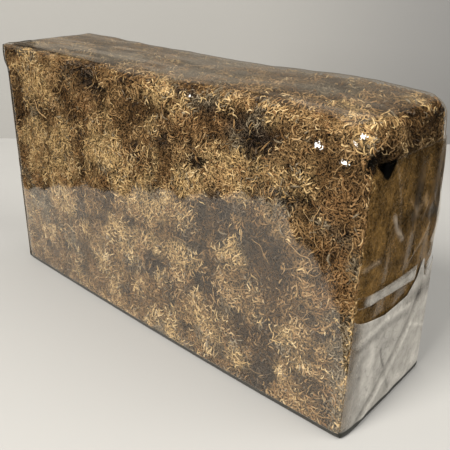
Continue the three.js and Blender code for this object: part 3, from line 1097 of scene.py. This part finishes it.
# %% The bed of moss
BED_CELL = 2.8
BED_BELOW = 1.6
BED_AT_EDGE = 0.45
BED_LUMPS = 2.0
LUMP_SIZE = 5.0
VOID_PUSH = np.array((9.0, -2.0, 0.0))
VOID_REACH = (1.1, 0.7, 0.8)
# Painted shade that makes the bed in the hollow nearly black.
VOID_SHADE = 1.3


def in_bed_void(points):
    """1 in the middle of the hollow below the shoulder, fading out round it."""
    reach = (VOID_HIGH - VOID_LOW) * VOID_REACH
    away = (points - (VOID_LOW + VOID_HIGH) / 2) / reach
    return np.exp(-np.sum(away**2, axis=1) * 2)


def add_bed():
    """The bed, sunk below its tufts and pushed in behind the hollow, with painted shade by its depth,
    darkest in the hollow.
    """
    bed = block_blank("moss_bed", BED_CELL)
    spots, out = on_skin(points_of(bed))
    depth, colour = tuft_field(spots)
    depth = depth + CLEFT_DEPTH * clefts(spots)
    inset = (depth + BED_BELOW) * near_edge(spots, BED_AT_EDGE)
    shape = set_back(crowned(spots - out * (inset + MOSS_GAP)[:, None]))
    hidden = in_bed_void(shape)
    set_points(bed, shape - hidden[:, None] * VOID_PUSH)
    clumps = bpy.data.textures.new("clumps", "CLOUDS")
    clumps.noise_scale = LUMP_SIZE * MM
    clumps.noise_depth = 3
    apply_modifier(
        bed, "DISPLACE", texture=clumps, texture_coords="LOCAL",
        strength=BED_LUMPS * MM, mid_level=0.5,
    )
    apply_modifier(bed, "TRIANGULATE")
    bpy.ops.object.shade_smooth()
    write_colour(bed, "tuft_colour", colour)
    # Painted shade by depth, darkest in the hollow.
    write_attribute(bed, "deep", np.maximum(smooth(DEEP_FROM, DEEP_FULL, depth), VOID_SHADE * hidden))
    return bed


# %% The finish of the bed
BED_SHADE = 0.8


def bed_finish():
    """Winding threads of moss, three layers of them, in the colour of the tufts round them; the nearly
    black ground between them is partly painted shade, and the darkening by depth is painted shade.
    """
    finish = Finish("matted_moss")
    upper = finish.threads(1.9, 11.0)
    lower = finish.threads(1.4, 9.0, shift=37.0)
    loose = finish.threads(3.0, 17.0, shift=71.0)
    patch = finish.noise(9.0)
    threads = upper + lower * 0.45 + loose * 0.6
    # Painted shade: a nearly black ground between the threads, darker again by depth.
    light = (threads + 0.03) * (patch * 0.9 + 0.45) * BED_SHADE
    light = light * (1 - finish.attribute("deep") * DEEP_SHADE)
    shader = finish.node("ShaderNodeBsdfPrincipled", {}, {
        "Base Color": finish.tinted(finish.attribute("tuft_colour", "Color"), light),
        "Roughness": 0.9,
        "Specular IOR Level": 0.1,
        "Normal": finish.bump(threads, strength=0.8, distance=0.5),
    })
    return finish.shown(shader)


bed = add_bed()
bed.data.materials.append(bed_finish())
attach(bed, "root")
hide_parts("moss_block")
print("bed:", len(bed.data.polygons), "triangles")

# %% [markdown]
# The film could be a glass with its refraction, but a sheet a twentieth of a millimetre thick
# doesn't bend light: it lets nearly all of it through and mirrors the rest, more at a slant. So
# it is a clear shader mixed with a mirror by the angle of view, plus a milky share where the sheet
# is dusty or lies in several layers; a few white glints and a shadow along its foot are painted
# into that share too. Its wrinkles are real ones, pulled along the block, with a few blisters on
# the front and an ear of film that stands off the edge at the back right.

# %% Wrinkles in the film
FILM_WALL = 0.15
FILM_CELL = 4.1
FILM_SEED = 7
PULLS, PULL_RISE = (9, (9, 22), (9, 1, 2.5)), 0.18
DRAPES, DRAPE_RISE = (8, (7, 18), (1, 1, 7)), 0.16
DENTS, DENT_RISE = (14, (8, 26)), 0.12
BLISTERS = ((34, 162), (92, 158), (60, 152))  # x, z
BLISTER_SIZE, BLISTER_RISE = 2.6, 0.45
EAR_HEIGHT, EAR_REACH, EAR_RISE = 102.0, 20.0, 2.2


def film_shape(points):
    """The film over the points: wrinkled on the top and the ends, and flat under the block."""
    spots, out = on_skin(points)
    rng = np.random.default_rng(FILM_SEED)
    pulls = waves(spots, rng, *PULLS)
    drapes = waves(spots, rng, *DRAPES)
    dents = waves(spots, rng, *DENTS)
    on_top = smooth(0.55, 0.95, out[:, 2])
    on_end = smooth(0.55, 0.95, np.abs(out[:, 0]))
    height = DENT_RISE * dents + PULL_RISE * pulls * on_top + DRAPE_RISE * drapes * on_end
    up = spots[:, 2] + HALF[2]
    for x, z in BLISTERS:
        away = (spots[:, 0] - x) ** 2 + (up - z) ** 2
        height += BLISTER_RISE * np.exp(-away / BLISTER_SIZE**2) * (spots[:, 1] < 0)
    corner = smooth(0.85, 1, spots[:, 0] / HALF[0]) * smooth(0.5, 1, spots[:, 1] / HALF[1])
    height += EAR_RISE * corner * np.exp(-(((up - EAR_HEIGHT) / EAR_REACH) ** 2))
    on_foot = smooth(0.4, 0.9, -out[:, 2])
    return crowned(spots + out * (height * (1 - on_foot))[:, None])


def add_film():
    """The film as one closed wall, its outer side on the wrinkled shape."""
    film = block_blank("clear_film", FILM_CELL)
    set_points(film, film_shape(points_of(film)))
    apply_modifier(film, "SOLIDIFY", thickness=FILM_WALL * MM, offset=-1)
    apply_modifier(film, "TRIANGULATE")
    bpy.ops.object.shade_smooth()
    return film


# %% The finish of clear film
CLEAR_TINT = (0.985, 0.975, 0.955, 1)
GLOSS_TINT = (1.0, 0.955, 0.90, 1)
MIRROR_SHARE = 0.059
MIRROR_POWER = 5


def film_finish(name, milk, haze, scuffs, roughness):
    """Clear film. milk(finish) gives its milky share, haze(finish) that share's colour."""
    finish = Finish(name)
    facing = finish.node("ShaderNodeLayerWeight", {}, {"Blend": 0.5}, "Facing")
    mirror = facing**MIRROR_POWER * (1 - MIRROR_SHARE) + MIRROR_SHARE
    creases = finish.noise(6.0, 3.0, (1, 1, 0.3))
    normal = finish.bump(creases, strength=scuffs, distance=0.5)
    clear = finish.node("ShaderNodeBsdfTransparent", {}, {"Color": CLEAR_TINT})
    gloss = finish.node("ShaderNodeBsdfAnisotropic", {}, {
        "Color": GLOSS_TINT, "Roughness": roughness, "Normal": normal,
    })
    sheet = finish.node("ShaderNodeMixShader", {}, {0: mirror, 1: clear, 2: gloss})
    cloud = finish.node("ShaderNodeBsdfPrincipled", {}, {
        "Base Color": haze(finish),
        "Roughness": 0.45,
        "Specular IOR Level": 0.3,
        "Normal": normal,
    })
    return finish.shown(finish.node("ShaderNodeMixShader", {}, {0: milk(finish), 1: sheet, 2: cloud}))


# %% Dust, painted glints and the painted shadow along the film's foot
DUST_HEIGHT = (HEIGHT - 3, HEIGHT + 1)
DUST_LEFT = (130, -60)
DUSTY_HAZE = (0.60, 0.53, 0.43, 1)
# A shadow painted along the foot, up to this height, as a dark milky band.
FOOT_LINE, FOOT_FADE = 3.8, 0.6
FOOT_SHADOW = (0.035, 0.034, 0.028, 1)
# Glints are painted: small white spots in the film's milk, not reflections of a lamp.
PAINTED_GLINT_WHITE = (0.95, 0.95, 0.93, 1)
PAINTED_GLINT_DEPTH = (-24, -32)
PAINTED_GLINTS = (
    # x, z, size
    (119.7, 153.7, 1.5), (141.2, 161.6, 0.9), (134.8, 148.4, 1.15), (35, 162.8, 0.75),
)


def body_milk(finish):
    """Dust in streaks on the top, more of it at the left, the painted shadow along the foot and the
    painted glints.
    """
    streak = finish.noise(9.0, 5.0, (0.14, 1, 0.5))
    x, _, z = finish.axes()
    high = z.between(*DUST_HEIGHT)
    left = x.between(*DUST_LEFT)
    dust = (streak.between(0.42, 0.62) * 1.3 + 0.08) * (left * 0.042 + 0.014) * high
    return (dust + 0.002 + painted_foot_shadow(finish, FOOT_LINE) * 0.85 + painted_glints(finish)).clamped()


def painted_foot_shadow(finish, top):
    """1 along the film's foot, where it turns under the block and a shadow is painted into it."""
    _, _, z = finish.axes()
    return 1 - z.between(top - FOOT_FADE, top)


def painted_glints(finish):
    """1 in the few small places on the long face where white glints are painted into the film."""
    x, y, z = finish.axes()
    grain = finish.noise(1.0).between(0.34, 0.66) * 1.3 + 0.12
    total = 0.0
    for place_x, place_z, size in PAINTED_GLINTS:
        away = ((x - place_x) ** 2 + ((z - place_z) * 1.6) ** 2) * grain
        total = (1 - away.between(0.5 * size**2, size**2)) + total
    return total * y.between(*PAINTED_GLINT_DEPTH)


def body_haze(finish):
    """Dusty, painted white for the glints and painted dark for the shadow along the foot."""
    dusty = finish.blend(painted_glints(finish).clamped(), DUSTY_HAZE, PAINTED_GLINT_WHITE)
    return finish.blend(painted_foot_shadow(finish, FOOT_LINE), dusty, FOOT_SHADOW)


film = add_film()
clear_film = film_finish("clear_film", body_milk, body_haze, scuffs=0.06, roughness=0.07)
film.data.materials.append(clear_film)
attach(film, "root")
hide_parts("film_wrap")
print("film:", len(film.data.polygons), "triangles")

# %% [markdown]
# Each end is folded shut like a parcel. The side flap is turned in first and its lower edge runs
# down at a slant; the tongue from below is turned up over it, and a hem crosses the front half
# above the tongue. Where two or three layers lie on each other the film turns milky, and over the
# moss it takes on its amber. Each fold is a sheet of even squares between a lower and an upper
# line. Its creases, glints and worn places are marks: soft lines that change the milk, the stain,
# the brightness and the height of the sheet along them. The brightness paints the glints as
# highlights and the creases with shade. Two of the flap's marks paint the dark tip of the hollow
# in the moss onto it, as shade.

# %% Marks on the folds
FLAP_MARKS = (
    # (y, z) points, width, milk, stain, brightness, rise; the brightness paints glints and crease shade
    # The first one paints the strip along the front edge lighter.
    (((-40, 2), (-40, 152)), 11.0, -0.40, 0.0, 0.25, 0.0),
    (((-33, 84), (-29, 108)), 8.0, -0.08, 0.0, 0.30, 0.0),
    (((-28, 116), (-24, 132)), 7.0, -0.08, 0.0, 0.22, 0.0),
    (((-40, 152), (40, 149)), 11.0, -0.66, 0.0, 0.0, 0.0),
    # These two paint the shade of the hollow's dark tip onto the flap.
    (((-35, 149), (-28, 142.5), (-21.5, 149), (-35, 149)), 3.2, 0.70, 0.0, -1.7, 0.0),
    (((-29, 148), (-28, 145)), 4.5, 0.60, 0.0, -1.7, 0.0),
    (((-9, 113), (6, 111), (37, 104)), 8.0, 0.14, 0.0, -0.55, -0.4),
    (((-3, 124), (8, 112), (16, 108)), 0.9, 0.03, -0.06, 0.35, 0.5),
    (((16, 108), (20, 116)), 0.9, 0.03, -0.05, 0.35, 0.4),
    (((26, 118), (31, 111), (36, 107)), 1.0, 0.03, -0.07, 0.35, 0.4),
    (((-21, 149), (-13, 128), (-8, 108)), 0.9, 0.03, -0.08, 0.25, 0.4),
    (((-17, 119), (-12, 111), (-6, 104)), 2.6, 0.04, -0.22, 0.10, 0.5),
    (((2, 152), (8, 118)), 13.0, 0.14, 0.02, -0.62, 0.0),
    (((24, 150), (28, 116)), 13.0, 0.14, 0.02, -0.50, 0.0),
    (((40, 152), (41, 108)), 12.0, 0.10, 0.10, -0.60, 0.0),
    (((8, 114), (17, 118)), 6.0, 0.06, -0.06, 0.35, 0.0),
    (((-37, 98), (-31, 99), (-26, 99)), 2.4, 0.06, -0.12, 0.10, 0.3),
    (((-12, 90), (6, 91)), 5.0, 0.0, 0.1, -0.25, 0.0),
    (((8, 88), (17, 94), (25, 101)), 1.6, 0.04, -0.06, 0.20, 0.4),
    (((20, 80), (34, 96)), 14.0, 0.10, 0.02, 0.12, 0.0),
    (((24, 68), (39, 78)), 2.0, 0.08, -0.3, 0.20, 0.4),
)
# Same columns; here too the brightness paints glints and crease shade.
TONGUE_MARKS = (
    (((-36, 57), (-15, 61), (16, 58)), 3.0, 0.12, 0.0, 0.14, 0.5),
    (((-35, 53), (-15, 56), (12, 53)), 3.2, -0.05, 0.0, -0.16, -0.2),
    (((22, 60), (16, 50), (2, 33), (-14, 17), (-32, 3)), 3.6, 0.1, 0.08, -0.24, -0.4),
    (((26, 60), (20, 48), (6, 30), (-10, 14), (-28, 0)), 3.0, 0.10, 0.0, 0.12, 0.4),
    (((-40, 0), (-40, 72)), 12.0, -0.66, 0.10, 0.0, 0.0),
    (((-23, 50), (-22, 20)), 5.0, 0.12, 0.0, 0.10, 0.3),
    (((-31, 46), (-30, 14)), 3.0, 0.0, 0.1, -0.10, -0.2),
    (((24, 62), (38, 60)), 9.0, -0.05, 0.10, -0.20, 0.0),
    (((-14, 43), (-11, 35), (-7, 28)), 1.3, 0.0, 0.2, -0.35, -0.3),
    (((12, 8), (36, 14)), 12.0, 0.12, 0.0, 0.10, 0.0),
    (((12, 62), (38, 60)), 9.0, -0.14, 0.1, -0.10, 0.0),
    (((-2, 16), (1, 9)), 1.3, 0.0, 0.1, -0.25, 0.0),
    (((15, 44), (40, 30)), 1.6, 0.12, 0.0, 0.20, 0.4),
)
HEM_MARKS = (
    (((-31, 80), (14, 77)), 5.5, 0.56, -0.10, 0.08, 0.3),
)


# %% Soft lines on a sheet
def line(*knots):
    """A line through (y, z) points, as a function of y."""
    ys, zs = zip(*knots)
    return lambda y: np.interp(y, ys, zs)


def soft_line(spots, knots, width):
    """1 on the line through the knots, falling to 0 at width mm from it."""
    nearest = np.full(len(spots), np.inf)
    for start, end in zip(knots, knots[1:]):
        start = np.array(start, float)
        way = np.array(end, float) - start
        share = np.clip((spots - start) @ way / (way @ way), 0, 1)
        away = spots - start - share[:, None] * way
        nearest = np.minimum(nearest, np.linalg.norm(away, axis=1))
    return 1 - smooth(0, width, nearest)


def marked(spots, base, marks):
    """Milk, stain, brightness and rise of a sheet at every point; the brightness carries painted glints
    and crease shade.
    """
    values = np.tile(np.array((*base, 0.0)), (len(spots), 1))
    for knots, width, *change in marks:
        values += soft_line(spots, knots, width)[:, None] * np.array(change)
    return values


print("marks:", len(FLAP_MARKS), "on the flap,", len(TONGUE_MARKS), "on the tongue")

# %% A folded sheet
FOLD_CELL = {"right": 1.35, "left": 2.7}
PROBES = 40
FOLD_CLEAR = 0.25
FOLD_WRINKLES, FOLD_RISE = (7, (9, 30), (1, 1, 4)), 0.2
SNUG, SNUG_REACH = 0.25, 9.0
RIM = 8.0


def end_sheet(name, end, span, lower, upper, lift, base, marks):
    """A folded layer on one end: span is its reach in y, lift its height over the skin."""
    side = 1 if end == "right" else -1
    cell = FOLD_CELL[end]
    deselect_all()
    ys = np.linspace(*span, PROBES)
    columns = max(3, round((span[1] - span[0]) / cell))
    rows = max(2, round(np.max(upper(ys) - lower(ys)) / cell))
    bpy.ops.mesh.primitive_grid_add(x_subdivisions=columns, y_subdivisions=rows, size=2)
    sheet = bpy.context.object
    sheet.name = f"{end}_{name}"
    # The grid spans 2 m round the origin, so this runs from 0 to 1 across it and up it.
    share = points_of(sheet)[:, :2] * MM / 2 + 0.5
    y = span[0] + (span[1] - span[0]) * share[:, 0]
    z = lower(y) + (upper(y) - lower(y)) * share[:, 1]
    milk, stain, bright, rise = marked(np.stack((y, z), 1), base, marks).T
    flat = np.stack((np.full(len(y), side * HALF[0]), y, z - HALF[2]), 1)
    spots, out = on_skin(flat)
    rng = np.random.default_rng(len(name) * FILM_SEED)
    wrinkle = waves(flat, rng, *FOLD_WRINKLES) * FOLD_RISE
    # The sheet is flat along its rim, and lies closer to the skin at the front edge of the block.
    inner = np.minimum(RIM * np.prod(4 * share * (1 - share), axis=1), 1)
    snug = SNUG + (1 - SNUG) * smooth(0, SNUG_REACH, y + HALF[1])
    height = lift * snug + (wrinkle + FOLD_CLEAR + rise) * inner
    set_points(sheet, crowned(spots + out * height[:, None]))
    bpy.ops.object.mode_set(mode="EDIT")
    bpy.ops.mesh.select_all(action="SELECT")
    bpy.ops.mesh.normals_make_consistent(inside=False)
    bpy.ops.object.mode_set(mode="OBJECT")
    for attribute, values in {"milk": milk, "stain": stain, "bright": bright}.items():
        write_attribute(sheet, attribute, values)
    apply_modifier(sheet, "SOLIDIFY", thickness=FILM_WALL * MM, offset=0)
    apply_modifier(sheet, "TRIANGULATE")
    bpy.ops.object.shade_smooth()
    sheet.data.materials.append(folded_film)
    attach(sheet, "root")
    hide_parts("film_wrap")
    return sheet


# %% The finish of folded film
PALE_HAZE = (0.80, 0.765, 0.69, 1)
AMBER_HAZE = (0.140, 0.079, 0.023, 1)
# On the folds the painted shadow along the foot reaches higher.
FOLD_FOOT = 5.0
FOLD_SHADOW = (0.016, 0.016, 0.012, 1)


def fold_milk(finish):
    """The marks' milk, thinner and thicker in clouds, and the painted shadow along the foot."""
    streak = finish.noise(4.5, 4.0, (1, 1, 0.16))
    cloud = finish.noise(8.0, 3.0)
    share = finish.attribute("milk") * (streak * 0.25 + cloud * 0.75 + 0.5)
    return (share + painted_foot_shadow(finish, FOLD_FOOT) * 0.95).clamped()


def fold_haze(finish):
    """Amber and mossy where the moss stains it, pale and crackled elsewhere, lit or shaded by the
    marks' painted brightness, and dark with a painted shadow along the foot.
    """
    streak = finish.noise(5.0, 4.0, (1, 1, 0.2), 19.0)
    blotch = finish.noise(7.0, 5.0, (1, 1, 0.7), 43.0)
    stain = finish.attribute("stain").clamped()
    colour = finish.blend(stain, PALE_HAZE, AMBER_HAZE)
    strands = finish.threads(3.5, 12.0, shift=11.0) + finish.threads(2.2, 10.0, shift=29.0)
    grain = finish.threads(1.4, 7.0, shift=53.0)
    mossy = streak.between(0.3, 0.7) * 0.15 + blotch.between(0.35, 0.65) * 0.6
    mossy = mossy + strands * 0.5 + grain * 0.3 + 0.1
    crackle = finish.threads(5.0, 30.0, 61.0) * 0.12 - finish.threads(7.0, 40.0, 83.0) * 0.3
    even = blotch * 0.8 + crackle + 0.58
    # The marks' brightness paints glints and crease shade into the haze.
    light = finish.attribute("bright") * (stain * mossy + (1 - stain) * even)
    return finish.blend(painted_foot_shadow(finish, FOLD_FOOT), finish.tinted(colour, light), FOLD_SHADOW)


folded_film = film_finish("folded_film", fold_milk, fold_haze, scuffs=0.25, roughness=0.12)
print("finish:", folded_film.name)

# %% The folds of both ends
crease = line((-39.5, 0.5), (-27, 3), (-8, 19), (4, 34), (13, 48), (25, 72), (39.4, 78))
flap_top = line((-39.4, 150), (-20, 149), (39.4, 147))
tongue_top = line(
    (-39.5, 71), (-36, 69), (-15, 64.6), (8, 65.3), (17, 71.5), (24, 82.7), (26.5, 70), (30, 68),
    (39.5, 76.5),
)
foot = line((-39.5, 0.6), (39.5, 0.6))
hem_low = line((-39.4, 77.5), (-20, 76.5), (15, 72.5))
hem_high = line((-39.4, 84), (-20, 82.5), (15, 81))
LAYERS = (
    # name, reach in y, lower line, upper line, lift, (milk, stain, brightness), marks
    ("side_flap", (-39.4, 39.4), crease, flap_top, 0.5, (0.62, 1.0, 1.0), FLAP_MARKS),
    ("tongue", (-39.2, 39.2), foot, tongue_top, 1.8, (0.74, 0.13, 0.60), TONGUE_MARKS),
    ("hem", (-38.8, 15), hem_low, hem_high, 1.9, (0.0, 0.28, 0.62), HEM_MARKS),
)
for end in FOLD_CELL:
    for name, *layer in LAYERS:
        sheet = end_sheet(name, end, *layer)
        print(sheet.name, len(sheet.data.polygons), "triangles")

# %% [markdown]
# The studio is a large pale floor that runs up into a pale wall. Both are clear from their back, so
# they never stand between the block and a camera behind them. Shiny film shows what stands round
# it, so six upright cards stand where a dark room and its far wall would be, and only shiny
# surfaces show them. A broad soft light comes from the front, another fills in from the right, and
# a small one makes the glints.

# %% The finish of the floor and the wall
def plain_finish(name, near, far, axis, reach, roughness):
    """A matt finish from the near colour to the far one along an axis, a painted gradient of light,
    clear from its back.
    """
    finish = Finish(name)
    along = finish.axes()["XYZ".index(axis)]
    from_back = finish.node("ShaderNodeNewGeometry", {}, {}, "Backfacing")
    shader = finish.node("ShaderNodeBsdfPrincipled", {}, {
        "Base Color": finish.blend(along.between(*reach), (*near, 1), (*far, 1)),
        "Roughness": roughness,
        "Specular IOR Level": 0.2,
        "Alpha": 1 - from_back,
    })
    return finish.shown(shader)


# The floor is painted lighter further back, to lift the block's shadow there.
table_finish = plain_finish(
    "pale_table", near=(0.385, 0.38, 0.366), far=(0.43, 0.425, 0.41), axis="Y", reach=(60, 115),
    roughness=0.55,
)
# The wall is painted darker towards its right, standing in for light that falls off across it.
wall_finish = plain_finish(
    "pale_wall", near=(0.313, 0.306, 0.289), far=(0.198, 0.196, 0.191), axis="X", reach=(20, 340),
    roughness=0.8,
)
print("finishes:", table_finish.name, wall_finish.name)

# %% Floor and wall
ROOM_TURN = 0.715
ROOM_REACH = 3000
WALL_BEHIND = 395
WALL_HEIGHT = 2500


def flat_sheet(name, corners, material):
    """A four-cornered stage sheet; corners in millimetres."""
    mesh = bpy.data.meshes.new(name)
    mesh.from_pydata([tuple(Vector(corner) * MM) for corner in corners], [], [(0, 1, 2, 3)])
    sheet = bpy.data.objects.new(name, mesh)
    bpy.context.scene.collection.objects.link(sheet)
    sheet.data.materials.append(material)
    return sheet


def room_sheet(name, front, back, top, material):
    """A stage sheet right across the room, its mesh along the room's directions for its finish."""
    corners = (
        (-ROOM_REACH, front, 0), (ROOM_REACH, front, 0),
        (ROOM_REACH, back, top), (-ROOM_REACH, back, top),
    )
    sheet = flat_sheet(name, corners, material)
    sheet.rotation_euler = (0, 0, ROOM_TURN)


room_sheet("floor", -ROOM_REACH, WALL_BEHIND, 0, table_finish)
room_sheet("wall", WALL_BEHIND, WALL_BEHIND, WALL_HEIGHT, wall_finish)
print("the wall stands", WALL_BEHIND, "mm behind the block's middle")

# %% Cards that only the film sees
CARD_HEIGHT = 900
CARD_CORNER = (-150, -415)
CARD_BEND = (90, -172)
CARD_TURN = (196, -92)
CARD_END = (204, -38)
BEFORE_WALL = WALL_BEHIND - 15
DARK_ROOM = (0.006, 0.005, 0.004)
DIM_WALL = (0.20, 0.185, 0.16)


def in_room(across, back):
    """A place on the floor, from the room's own directions, which the block stands askew to."""
    return (
        across * math.cos(ROOM_TURN) - back * math.sin(ROOM_TURN),
        across * math.sin(ROOM_TURN) + back * math.cos(ROOM_TURN),
    )


def card(name, start, end, colour):
    """An upright card that only mirrors show."""
    finish = Finish(name)
    glow = finish.node("ShaderNodeEmission", {}, {"Color": (*colour, 1), "Strength": 1.0})
    corners = ((*start, 0), (*end, 0), (*end, CARD_HEIGHT), (*start, CARD_HEIGHT))
    sheet = flat_sheet(name, corners, finish.shown(glow))
    sheet.visible_camera = False
    sheet.visible_diffuse = False
    sheet.visible_shadow = False
    sheet.visible_transmission = False


card("left_card", (-631, 626), CARD_CORNER, DARK_ROOM)
card("right_card", CARD_CORNER, CARD_BEND, DARK_ROOM)
card("near_card", CARD_BEND, CARD_TURN, DARK_ROOM)
card("corner_card", CARD_TURN, CARD_END, DARK_ROOM)
card("end_card", CARD_END, (213, 400), DARK_ROOM)
# This card glows dimly: it stands in for the lit far wall that the film mirrors.
card("back_card", in_room(-1200, BEFORE_WALL), in_room(900, BEFORE_WALL), DIM_WALL)
print("cards are", CARD_HEIGHT, "mm high")


# %% Lights
def area_light(name, spot, aim, size, power, colour=(1, 1, 1)):
    """A square lamp, size metres wide, at a spot and turned to an aim, both in millimetres."""
    data = bpy.data.lights.new(name, "AREA")
    data.size = size
    data.energy = power
    data.color = colour
    lamp = bpy.data.objects.new(name, data)
    bpy.context.scene.collection.objects.link(lamp)
    start = Vector(spot) * MM
    turn = (Vector(aim) * MM - start).to_track_quat("-Z", "Y").to_matrix().to_4x4()
    lamp.matrix_world = Matrix.Translation(start) @ turn
    return lamp


KEY_COLOUR = (1.0, 0.96, 0.90)
FILL_COLOUR = (1.0, 0.97, 0.92)
key = area_light("key", (0, -1080, 1150), (0, 0, 80), size=0.6, power=34, colour=KEY_COLOUR)
fill = area_light("fill", (1000, 250, 1000), (150, 0, 40), size=1.0, power=16, colour=FILL_COLOUR)
glint = area_light("glint", (-60, -1290, 430), (120, -40, 155), size=0.22, power=5.0)
for lamp in (key, fill):
    lamp.visible_glossy = False
for lamp in (key, fill, glint):
    print(lamp.name, lamp.data.energy, "W")

# %% The light of the room, and how many films a ray may pass
ROOM_LIGHT = (0.95, 0.97, 1.0, 1)
ROOM_STRENGTH = 0.42
FILMS_DEEP = 24

world = bpy.data.worlds.new("room")
world.use_nodes = True
background = world.node_tree.nodes["Background"]
background.inputs["Color"].default_value = ROOM_LIGHT
background.inputs["Strength"].default_value = ROOM_STRENGTH
bpy.context.scene.world = world
bpy.context.scene.view_settings.view_transform = "Standard"
bpy.context.scene.cycles.transparent_max_bounces = FILMS_DEEP
